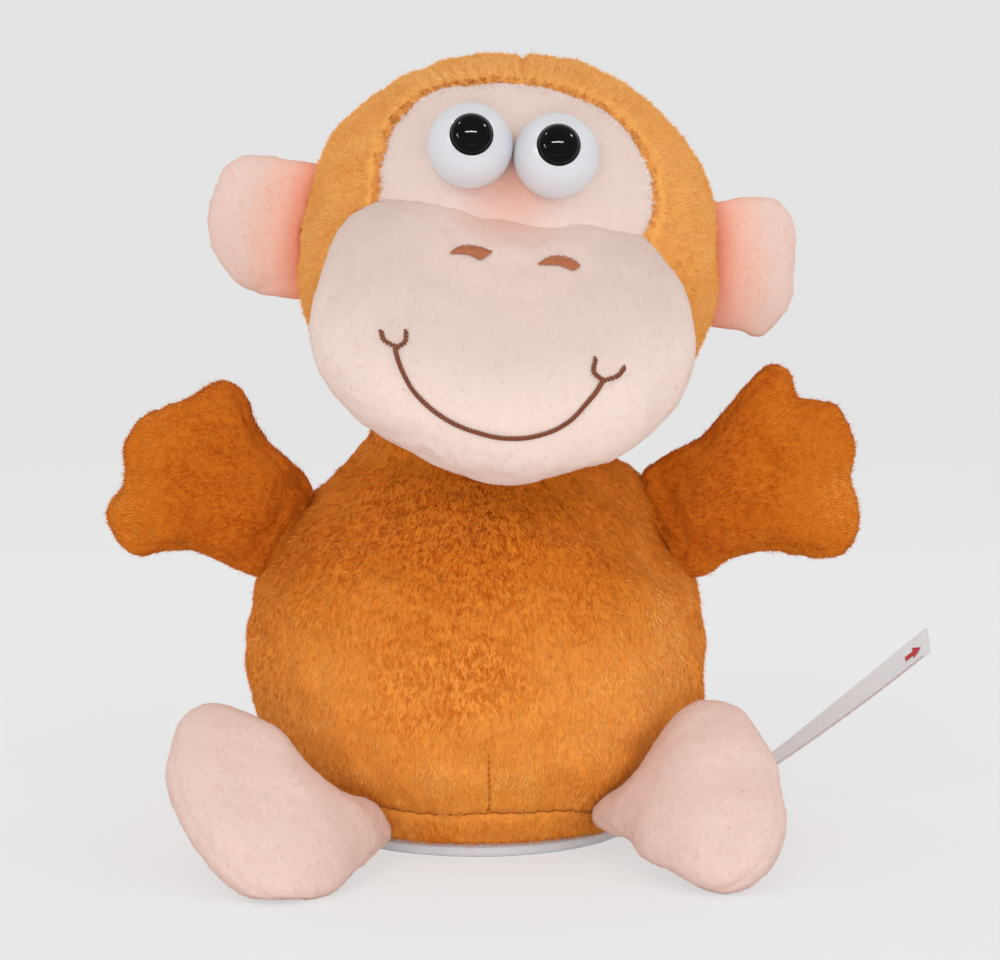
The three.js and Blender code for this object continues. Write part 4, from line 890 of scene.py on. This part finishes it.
def make_world(far):
    """White light all round, which the camera and reflections see as the floor's far tone."""
    world = bpy.data.worlds.new("studio")
    bpy.context.scene.world = world
    world.use_nodes = True
    made = Nodes(world.node_tree)
    soft = made.tree.nodes["Background"]
    soft.inputs["Color"].default_value = (1, 1, 1, 1)
    soft.inputs["Strength"].default_value = WORLD_LIGHT
    shown = made.add("Background", {"Color": far})
    rays = made.add("LightPath").outputs
    seen = rays["Is Camera Ray"]
    for other in ("Is Glossy Ray", "Is Transmission Ray"):
        either = made.add("Math", operation="MAXIMUM")
        made.link(seen, either.inputs[0])
        made.link(rays[other], either.inputs[1])
        seen = either.outputs["Value"]
    mixed = made.mix(seen, soft.outputs["Background"], shown.outputs["Background"])
    made.link(mixed, made.tree.nodes["World Output"].inputs["Surface"])


def add_light(name, place, size, energy, aim):
    data = bpy.data.lights.new(name, "AREA")
    data.shape = "RECTANGLE"
    data.size, data.size_y = size[0] * MM, size[1] * MM
    data.energy = energy
    light = link_object(name, data)
    light.location = Vector(place) * MM
    light.rotation_euler = (Vector(aim) - Vector(place)).to_track_quat("-Z", "Y").to_euler()
    return light


def make_stage():
    far = grey(FLOOR_GLOW + FLOOR_LIT * WORLD_LIGHT, 1.003)
    make_floor(far)
    make_world(far)
    for lamp in LAMPS:
        add_light(*lamp, LAMP_AIM).visible_glossy = False
    for lamp in SPARKS:
        add_light(*lamp, SPARK_AIM).visible_diffuse = False
    bpy.context.scene.view_settings.view_transform = "Standard"


# Body


def body_side():
    """Radius and height up the body's side, measured on its solid."""
    tree = tree_of(frame["nodes"]["body_plush"])
    low, _ = box_of("body_plush")
    side = []
    for height in np.linspace(low[2] + 0.3, PIVOT[2] + 7, BODY_HEIGHTS):
        hit = tree.ray_cast(Vector((200, 0.3, height)), Vector((-1, 0, 0)))[0]
        side.append((hit.x, height))
    return side


def make_body(material):
    """The body: a turned form from its tuck at the base up to the ball of the neck."""
    side = spline(body_side(), BODY_RINGS)
    (start, low), (_, top) = side[0], side[-1]
    tuck = [(start - 3.0, low + 0.5), (start - 1.2, low), (start - 0.3, low + 0.2)]
    angle = np.linspace(math.asin((top - PIVOT[2]) / NECK_BALL), math.pi / 2, 24)[1:-6]
    ball = np.stack([NECK_BALL * np.cos(angle) + 0.01, PIVOT[2] + NECK_BALL * np.sin(angle)], 1)
    rings = np.concatenate([tuck, side, ball])
    turn = circle(BODY_COLUMNS)
    radius, height = rings[:, :1], np.repeat(rings[:, 1:], BODY_COLUMNS, 1)
    points = np.stack([radius * np.cos(turn), radius * np.sin(turn), height], -1).reshape(-1, 3)
    piece = make_object("body_cover", points, grid_faces(len(rings), BODY_COLUMNS), [])
    sew_body(piece)
    settle(piece, "base", material, ["body_plush"])
    return piece


def hem_line(turn):
    """Height of the hem seam at an angle about Z. It dips beside the right foot."""
    dip = HEM_DIP * hump(turn - HEM_DIP_TURN, HEM_DIP_WIDTH)
    return HEM_SEAM_HEIGHT - dip + 0.35 * np.sin(5 * turn + 1) + 0.2 * np.sin(11 * turn)


def groove(gap, deep, width, valley):
    """The depth of a seam: a narrow line in a shallow valley."""
    return deep * hump(gap, width) + valley * hump(gap, 4)


def sew_body(piece):
    """Hem, front and back seams, their puckers, the gathers at the neck, and the uneven stuffing."""
    points = points_of(piece)
    x, y, z = points.T
    turn = np.arctan2(y, x)
    hem = z - hem_line(turn)
    across = x - FRONT_SEAM_X - 0.02 * (z - 12)
    front = (y < 0) & (z > HEM_SEAM_HEIGHT - 0.5)
    shown = front * np.clip((FRONT_SEAM_TOP - z) / 5, 0, 1)
    pucker = np.sin(turn * 44 + 2 * np.sin(7 * turn)) * hump(hem - 2, 3.5)
    depth = 1.5 * hump(hem, 0.7) + 0.2 * pucker
    depth += (y > 0) * (z > 12) * groove(x, 0.8, 0.6, 0.4)
    depth += shown * groove(across, 0.85, 0.6, 0.5)
    swell = 0.55 * hump(hem + 3.2, 2.6)
    uneven = unevenness(points, {34: 0.55, 11: 0.22, 2.4: 0.06}, 3)
    calm = np.clip((z - 5) / 12, 0, 1) * np.clip((92 - z) / 8, 0, 1)
    fuller = (1.5 * hump(z - 57, 11) + 0.8 * hump(z - 38, 12)) * np.clip(-x / 40, 0, 1)
    fuller += 3.0 * spot(points, SHOULDER, 8)
    folds = np.sin(turn * 13 + 1.6 * np.sin(3 * turn + 2) + 0.9) * (0.6 + 0.4 * np.sin(5 * turn))
    gather = 0.75 * folds * hump(z - 90, 9)
    push_out(piece, swell - depth + uneven * calm + fuller + gather)


def seam_gap(points):
    """How far points lie from the body's nearest seam."""
    x, y, z = points.T
    hem = np.abs(z - hem_line(np.arctan2(y, x)))
    above = z > HEM_SEAM_HEIGHT
    front = np.where((y < 0) & above & (z < FRONT_SEAM_TOP), np.abs(x - FRONT_SEAM_X), NO_SEAM)
    back = np.where((y > 0) & above, np.abs(x) * 1.4, NO_SEAM)
    return np.minimum(hem, np.minimum(front, back))


def seam_stitches(piece, thread):
    """The threads that show in the front seam, and in the hem seam a continuous dark line of them that is
    painted shade of its groove.
    """
    tree = tree_of(piece)
    places, normals, ways = [], [], []
    # The hem: overlapping threads that make one continuous dark line, painted shade of the seam's groove
    for turn in np.arange(-math.pi, math.pi, 1.2 / 42):
        height = hem_line(turn) + 0.12 * math.sin(71 * turn)
        out = Vector((math.cos(turn), math.sin(turn), 0))
        place, normal, _, _ = tree.ray_cast(out * 90 + Vector((0, 0, height)), -out)
        places.append(place - normal * 0.02)
        normals.append(normal)
        ways.append((-math.sin(turn), math.cos(turn), 0.25 * math.sin(53 * turn)))
    for height in np.arange(HEM_SEAM_HEIGHT + 0.9, FRONT_SEAM_TOP - 1, 1.55):
        place, normal, _, _ = tree.ray_cast(Vector((FRONT_SEAM_X, -90, height)), Vector((0, 1, 0)))
        places.append(place + normal * 0.1)
        normals.append(normal)
        ways.append((0.1, 0, 1))
    normals = np.array(normals)
    ways = in_plane(np.array(ways), normals)
    lengths = np.full(len(places), 1.45)
    stitches("seam_stitches", np.array(places), ways, normals, lengths, 0.15, thread, "base")


# Head


def head_outline(x, z):
    """The head's form from the front, in its own axes: 1 on its outline."""
    return (np.abs(x) / HEAD_HALF[0]) ** HEAD_FULLNESS + (np.abs(z) / HEAD_HALF[2]) ** HEAD_FULLNESS


def head_surface(directions):
    """Points of the head's form in its own axes, along the given directions."""
    x, y, z = directions.T
    depth = (np.abs(y) / HEAD_HALF[1]) ** HEAD_FULLNESS
    return directions * ((head_outline(x, z) + depth) ** (-1 / HEAD_FULLNESS))[:, None]


def head_front(x, z):
    """The Y of the head's front over a point of its own X and Z."""
    return -HEAD_HALF[1] * np.maximum(1 - head_outline(x, z), 0) ** (1 / HEAD_FULLNESS)


def face_gap(local):
    """How far points on the hood lie outside the eye panel, and their angle round it."""
    outline = spline(PATCH_OUTLINE, 400, closed=True) - PATCH_MIDDLE
    round_it = np.arctan2(outline[:, 1], outline[:, 0])
    order = np.argsort(round_it)
    x, z = local[:, 0] - PATCH_MIDDLE[0], local[:, 2] - PATCH_MIDDLE[1]
    angle = np.arctan2(z, x)
    edge = np.interp(angle, round_it[order], np.linalg.norm(outline[order], axis=1), period=2 * math.pi)
    return np.where(local[:, 1] < 0, np.hypot(x, z) - edge, 60.0), angle


def panel_gap(points):
    return face_gap(to_head(points))[0]


def crown_gap(points):
    """How far points lie from the seam that runs over the hood, from the eye panel to the nape."""
    return np.where(panel_gap(points) > 0, np.abs(to_head(points)[:, 0] - CROWN_SEAM_X) * 1.2, NO_SEAM)


def make_head(material):
    """The brown hood. The poles of its grid lie under the ears."""
    polar = np.linspace(0.004, math.pi - 0.004, HEAD_ROWS)[:, None]
    turn = circle(HEAD_COLUMNS)[None, :]
    x = np.repeat(np.cos(polar), HEAD_COLUMNS, 1)
    y, z = np.sin(polar) * np.cos(turn), np.sin(polar) * np.sin(turn)
    local = head_surface(np.stack([x, y, z], -1).reshape(-1, 3))
    piece = make_object("head_cover", to_world(local), grid_faces(HEAD_ROWS, HEAD_COLUMNS)[:, ::-1], [])
    points, normals = points_of(piece), normals_of(piece)
    gap, angle = face_gap(local)
    over = np.clip((gap - 1) / 2, 0, 1) * (local[:, 2] > -20)
    seam = over * groove(np.abs(local[:, 0] - CROWN_SEAM_X), 0.7, 0.7, 0.35)
    pull = 0.36 * np.sin(angle * 58 + 3 * np.sin(5 * angle)) * hump(gap - 3, 2.6)
    uneven = unevenness(points, {40: 0.5, 12: 0.2, 2.4: 0.06}, 31) * np.clip(gap / 8, 0, 1)
    roll = 1.1 * hump(gap - 1.5, 2.6)
    full = 1.3 * spot(points, HEAD_BULGE, 14)
    points += normals * (uneven + pull + roll + full - seam)[:, None]
    out = points - PIVOT
    distance = np.linalg.norm(out, axis=1, keepdims=True)
    room = NECK_BALL + NECK_ROOM
    move_points(piece, np.where(distance < room, PIVOT + out / distance * room, points))
    settle(piece, "head", material, ["head_plush"])
    return piece


def make_patch(material):
    """The pale panel round the eyes, sewn on to the hood."""
    shares = np.concatenate([np.linspace(0.004, 0.9, 44), 1 - np.geomspace(0.09, 0.001, 16)])
    outline = spline(PATCH_OUTLINE, PATCH_COLUMNS, closed=True)
    middle = np.array(PATCH_MIDDLE)
    flat = middle + (outline - middle) * shares[:, None, None]
    x, z = flat[..., 0], flat[..., 1]
    crown = np.repeat((1 - shares**9)[:, None] ** 0.5, PATCH_COLUMNS, 1)
    thick = PATCH_THICKNESS * (0.1 + crown)
    ground = np.stack([x, head_front(x, z), z], -1)
    step = 0.05
    slope_x = (head_front(x + step, z) - head_front(x - step, z)) / (2 * step)
    slope_z = (head_front(x, z + step) - head_front(x, z - step)) / (2 * step)
    normal = unit(np.stack([slope_x, -np.ones_like(x), slope_z], -1))
    rings = np.concatenate([ground + normal * thick[..., None], (ground - normal)[::-1]])
    faces = grid_faces(len(rings), PATCH_COLUMNS)
    piece = make_object("patch_cover", to_world(rings.reshape(-1, 3)), faces, [])
    rumple(piece, {11: 0.12, 2.2: 0.04}, 41)
    settle(piece, "head", material, ["face_patch"])
    return piece


def lathe(name, profile, centre, axis, material, columns=72):
    """Turns (radius, height) pairs about an axis through centre."""
    profile = np.array(profile)
    axis = unit(np.array(axis, float))
    side = unit(np.cross(axis, [0.31, 0.17, 0.93]))
    third = np.cross(axis, side)
    turn = circle(columns)
    ring = np.cos(turn)[:, None] * side + np.sin(turn)[:, None] * third
    points = centre + profile[:, 0, None, None] * ring + profile[:, 1, None, None] * axis
    return make_object(name, points.reshape(-1, 3), grid_faces(len(profile), columns)[:, ::-1], [material])


def dome_profile():
    """Radius and height of an eye's white."""
    angle = np.linspace(EYE_CUT, NEAR_POLE, 60)
    dome = np.stack([EYE_RADIUS * np.cos(angle), EYE_RADIUS * np.sin(angle)], 1)
    radius, height = dome[0]
    rim = [(0.01, height), (radius - 0.6, height), (radius - 0.1, height + 0.1)]
    return np.concatenate([rim, dome[1:]])


def button_profile():
    """Radius and height of a pupil, from its collar to its top."""
    angle = np.linspace(0, NEAR_POLE, 30)
    button = np.stack([(PUPIL_RADIUS - 0.35) * np.cos(angle), PUPIL_HEIGHT * np.sin(angle) ** 0.9], 1)
    collar = np.array([(-0.5, -1.6), (0, -1.2), (0, -0.15), (-0.15, 0.1)]) + [PUPIL_RADIUS, 0]
    return np.concatenate([collar, button[1:] + [0, 0.1]]) + [0, EYE_RADIUS - 0.9]


def make_eyes(white_material, pupil_material):
    """Smooth white domes, each with a polished button set a little above its middle."""
    whites = []
    c, s = math.cos(HEAD_TILT), math.sin(HEAD_TILT)
    ahead = (math.sin(PUPIL_LIFT) * s, -math.cos(PUPIL_LIFT), math.sin(PUPIL_LIFT) * c)
    for side in ("left", "right"):
        low, high = box_of(f"eye_white_{side}")
        centre = (low + high) / 2
        centre[1] = low[1] + (high[0] - low[0]) / 2
        white = lathe(f"eye_{side}", dome_profile(), centre, ahead, white_material)
        pupil = lathe(f"pupil_{side}", button_profile(), centre, ahead, pupil_material)
        attach(white, "head", [f"eye_white_{side}"])
        attach(pupil, "head", [f"eye_pupil_{side}"])
        whites.append(white)
    return whites


# Embroidery


def laid_on(piece, path, lift):
    """The path's points, given in the head's X and Z, on the piece's front, with its normals."""
    tree = tree_of(piece)
    places, normals = [], []
    for point in to_world(np.stack([path[:, 0], np.full(len(path), -60.0), path[:, 1]], 1)):
        place, normal, _, _ = tree.ray_cast(Vector(point) - Vector((0, 40, 0)), Vector((0, 1, 0)))
        places.append(place + normal * lift)
        normals.append(normal)
    return np.array(places), np.array(normals)


def stitches(name, places, directions, normals, lengths, radius, material, body):
    """Short rounded threads, one for each place."""
    sides, shares = 6, np.array([-1, -0.8, -0.35, 0.35, 0.8, 1])
    girth = np.array([0.12, 0.72, 1, 1, 0.72, 0.12])
    turn = circle(sides)
    across = unit(np.cross(directions, normals))
    up = np.cross(across, directions)
    points, faces = [], []
    for place, along, side, rise, length in zip(places, directions, across, up, lengths):
        ring = np.cos(turn)[:, None] * side + np.sin(turn)[:, None] * rise * 0.8
        arch = rise * 0.25 * (1 - shares[:, None] ** 2)
        spine = place + (shares[:, None] * along * length / 2 + arch)[:, None, :]
        own = spine + girth[:, None, None] * radius * ring
        faces.append(grid_faces(len(shares), sides) + len(points) * len(shares) * sides)
        points.append(own.reshape(-1, 3))
    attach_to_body(make_object(name, np.concatenate(points), np.concatenate(faces), [material]), body)


def stitch_paths(name, piece, paths, lengths, ahead_share, side_share, radius, thread):
    """Stitches along the paths, slanted by the two shares. Returns the points that they cover."""
    rows = []
    for path, length in zip(paths, lengths):
        places, normals = laid_on(piece, path, STITCH_LIFT)
        ahead = unit(np.gradient(places, axis=0))
        slant = unit(ahead_share * ahead + side_share * np.cross(normals, ahead))
        rows.append((places, slant, normals, length))
    joined = [np.concatenate(column) for column in zip(*rows)]
    stitches(name, *joined, radius, thread, "head")
    return joined[0]


def embroider(muzzle, thread, nose_thread):
    """Smile in stem stitch and nostrils in satin stitch. Returns the points that they cover."""
    smile = []
    for line in [MOUTH, *MOUTH_CORNERS]:
        length = np.linalg.norm(np.diff(np.array(line), axis=0), axis=1).sum()
        smile.append(spline(line, max(4, int(length / STITCH_STEP))))
    lengths = [np.full(len(path), 1.5) for path in smile]
    taken = stitch_paths("mouth_stitches", muzzle, smile, lengths, 1, 0.95, 0.29, thread)
    nose = [spline(line, 21) for line in NOSTRILS]
    lengths = [path[:, 2] * (1 + 0.1 * np.sin(np.arange(len(path)) * 2.4)) for path in nose]
    more = stitch_paths("nostril_stitches", muzzle, nose, lengths, 0.3, 1, 0.23, nose_thread)
    return np.concatenate([taken, more])


# Pull tab


def tab_points(shares, across, lift):
    """Points on the tab: shares of its length, millimetres across it and above its face."""
    route = spline(TAB_ROUTE, 200)
    length = np.concatenate([[0], np.cumsum(np.linalg.norm(np.diff(route, axis=0), axis=1))])
    place = shares * length[-1]
    slope = np.gradient(route, axis=0)
    x, z, slope_x, slope_z = (np.interp(place, length, line) for line in (*route.T, *slope.T))
    along = unit(np.stack([slope_x, np.zeros(len(place)), slope_z], 1))
    free = np.clip((shares - 0.2) / 0.8, 0, 1)
    twist = TAB_TWIST * free * free * (3 - 2 * free)
    side = np.stack([np.zeros(len(place)), np.cos(twist), np.sin(twist)], 1)
    face = unit(np.cross(along, side))
    curl = 0.02 * free * across**2
    middle = np.stack([x, np.full(len(place), TAB_Y), z], 1)
    return middle + side * across[:, None] + face * (lift + curl)[:, None]


def tab_mark(corners, lift):
    """The points of one printed mark, cut into short steps so that it follows the film."""
    (a, u0), (b, u1), (c, u2), (d, u3) = corners
    share = np.linspace(0, 1, MARK_STEPS)
    lifts = np.full(MARK_STEPS, lift)
    low = tab_points(a + (b - a) * share, u0 + (u1 - u0) * share, lifts)
    high = tab_points(d + (c - d) * share, u3 + (u2 - u3) * share, lifts)
    return np.concatenate([low, high])


def make_tab(film, ink):
    """The clear film with its thin red line and arrow on both faces."""
    rows, half = 90, TAB_WIDTH / 2
    section = [(u, face / 2) for face in (1, -1) for u in np.linspace(-half, half, 7)[::face]]
    shares = np.repeat(np.linspace(0, 1, rows), len(section))
    across, lift = np.tile(np.array(section), (rows, 1)).T
    points = tab_points(shares, across, lift * TAB_THICKNESS)
    strip = make_object("pull_film", points, grid_faces(rows, len(section)), [film], smooth=False)
    attach(strip, "tab", ["pull_tab"])
    lift = TAB_THICKNESS / 2 + MARK_LIFT
    marks = [tab_mark(corners, face * lift) for face in (-1, 1) for corners in TAB_MARKS]
    faces = [grid_faces(2, MARK_STEPS, wrap=False) + 2 * MARK_STEPS * i for i in range(len(marks))]
    marks, faces = np.concatenate(marks), np.concatenate(faces)
    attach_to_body(make_object("tab_print", marks, faces, [ink], smooth=False), "tab")


# Where the pile lies, where it is bare and where it is shorter


def away_from(focus):
    return lambda points: points - np.array(focus, float)


def off_face(points):
    """Away from the face, but over the edge of the eye panel along its seam."""
    out = points - FACE_CENTRE
    return np.where((panel_gap(points) < 2.4)[:, None], -out, out)


def bare_body(top, gap):
    return lambda points: (points[:, 2] > top) | (seam_gap(points) < gap)


def bare_hood(ball, panel, seam):
    """Bare about the neck's ball, near the eye panel and at the seam."""
    return lambda points: (
        (away_by(points, PIVOT) < ball) | (panel_gap(points) < panel) | (crown_gap(points) < seam))


def bare_off_band(middle, half, behind=math.inf):
    """Bare but for a band along the eye panel's edge, and behind a Y."""
    return lambda points: (np.abs(panel_gap(points) - middle) > half) | (points[:, 1] > behind)


def bare_near(places, reach=0.8):
    return lambda points: np.stack([away_by(points, place) for place in places]).min(0) < reach


def seam_trim(points):
    return np.clip(seam_gap(points) / 1.1, 0.35, 1)


def crown_trim(points):
    return np.clip(crown_gap(points) / 1.6, 0.3, 1)


def ragged(middle, swing, size, seed):
    return lambda points: middle + swing * np.clip(waves(points, size, seed), -1, 1)


# Everything, in the order camera, stage, pieces, pile

make_camera()
make_stage()
dress_nodes()

brown = plush_skin("brown_ground", BROWN_SKIN, GOLD, 0.08, BROWN_LOW_NAP_AND_PAINTED_LIGHT)
hood_ground = plush_skin("hood_ground", HOOD_SKIN, GOLD, 0.06)
arm_ground = plush_skin("arm_ground", ARM_SKIN, GOLD, 0.06)
pink = plush_skin("pink_ground", PINK_SKIN, ROSE, 0.02)
# The face and muzzle grounds hold painted shade in the crease under the eyes; the muzzle's also painted
# shade in its middle and painted light at the chin
pale = painted_shading_ground("face_ground", FACE_CREASE_PAINTED_SHADE, ROSE, NOSE_ROOT, 3, 14)
muzzle_ground = painted_shading_ground("muzzle_ground", MUZZLE_SKIN_AND_PAINTED_SHADE, ROSE, NOSE_ROOT, 5, 52)
# Ear ground: painted salmon shade next to the head, pink further out
ear_skin = painted_shading_ground("ear_ground", [EAR_PILE[0], EAR_PILE[2], PINK_SKIN], ROSE, HEAD_CENTRE, 46, 60)
brown_pile = pile_tones("brown_pile", BROWN_PILE, GOLD, 0.8)
hood_pile = pile_tones("hood_pile", HOOD_PILE, GOLD, 0.5)
halo = pile_tones("halo_pile", HALO_PAINTED_RIM_LIGHT, GOLD, 0.8)
pink_pile = pile_tones("pink_pile", PINK_PILE, ROSE, 0.3)
face_pile = pile_tones("face_pile", FACE_PILE, ROSE, 0.3)
ear_pile = pile_tones("ear_pile", EAR_PILE, ROSE, 0.3)

body = make_body(brown)
head = make_head(hood_ground)
patch = make_patch(pale)
seam_stitches(body, thread_finish("seam_thread", SEAM_THREAD_AND_SHADE))
muzzle = make_muzzle(muzzle_ground)
arms = [make_limb(name, body, arm_ground) for name in ("arm_left", "arm_right")]
feet = [make_limb(name, body, pink) for name in ("foot_left", "foot_right")]
ears = [make_limb(name, head, ear_skin) for name in ("ear_left", "ear_right")]
eyes = make_eyes(eye_white_finish(), pupil_finish())
smile_thread = thread_finish("smile_thread", SMILE_THREAD)
sewn = embroider(muzzle, smile_thread, thread_finish("nose_thread", NOSE_THREAD))
make_tab(film_finish(), moulded("red_ink", (196, 40, 44), 0.5))

down, outward = away_from((0, 0, 400)), away_from((0, 0, 66))
add_pile(
    body, "base", brown_pile, FUR, 2.4, down, 100, [(arms, 0.3), ([*feet, head], 0)], bare_body(98, 0.25),
    NAP_AND_PAINTED_SHADE, seam_trim)
add_pile(
    body, "base", halo, HALO, 1, down, 150, [(arms, 0.3), (feet, 0), ([head], 4.0)], bare_body(90, 0.8))
add_pile(
    head, "head", halo, HALO, 1.8, off_face, 260, [([muzzle, *ears], 0), ([body], 4.5)],
    bare_hood(29, 3, 0.5))
add_pile(
    head, "head", hood_pile, FUR, 2.4, off_face, 200, [([muzzle, *ears], 0), ([body], 2.8)],
    bare_hood(28, 0, 0.3), HOOD_PAINTED_LIGHT_AND_SHADE, crown_trim)
add_pile(
    head, "head", hood_pile, FRINGE, 1.6, off_face, 250, [([muzzle], 0.3)], bare_off_band(1.0, 0.9),
    trim=ragged(0.62, 0.38, 1.6, 251))
add_pile(
    muzzle, "head", face_pile, DOWN, 1.9, away_from((7, -30, 150)), 300, [([head, patch], 0)],
    bare_near(sewn[::2]), [*FACE_PAINTED_SHADE_AND_LIGHT, CHIN_PAINTED_LIGHT])
on_patch = [([head, muzzle, *eyes], 0)]
add_pile(patch, "head", face_pile, DOWN, 2.5, away_from((7, -40, 130)), 400, on_patch, places=FACE_PAINTED_SHADE_AND_LIGHT)
add_pile(
    patch, "head", face_pile, EDGE, 3.2, away_from(FACE_CENTRE), 450, on_patch,
    bare_off_band(-0.8, 0.6, -10), trim=ragged(0.6, 0.4, 1.4, 451))
for arm in arms:
    add_pile(arm, "base", brown_pile, SHORT_FUR, 1.6, outward, 500, [([body], 0.3)], places=NAP_AND_PAINTED_SHADE)
    add_pile(arm, "base", halo, HALO, 0.2, outward, 550, [([body], 0.3)])
for foot in feet:
    add_pile(foot, "base", pink_pile, DOWN, 1, away_from((4, -20, 30)), 600, [([body], 0)])
for ear in ears:
    add_pile(ear, "head", ear_pile, DOWN, 2.4, away_from(HEAD_CENTRE), 700, [([head], 0)], places=EAR_PAINTED_SHADE)
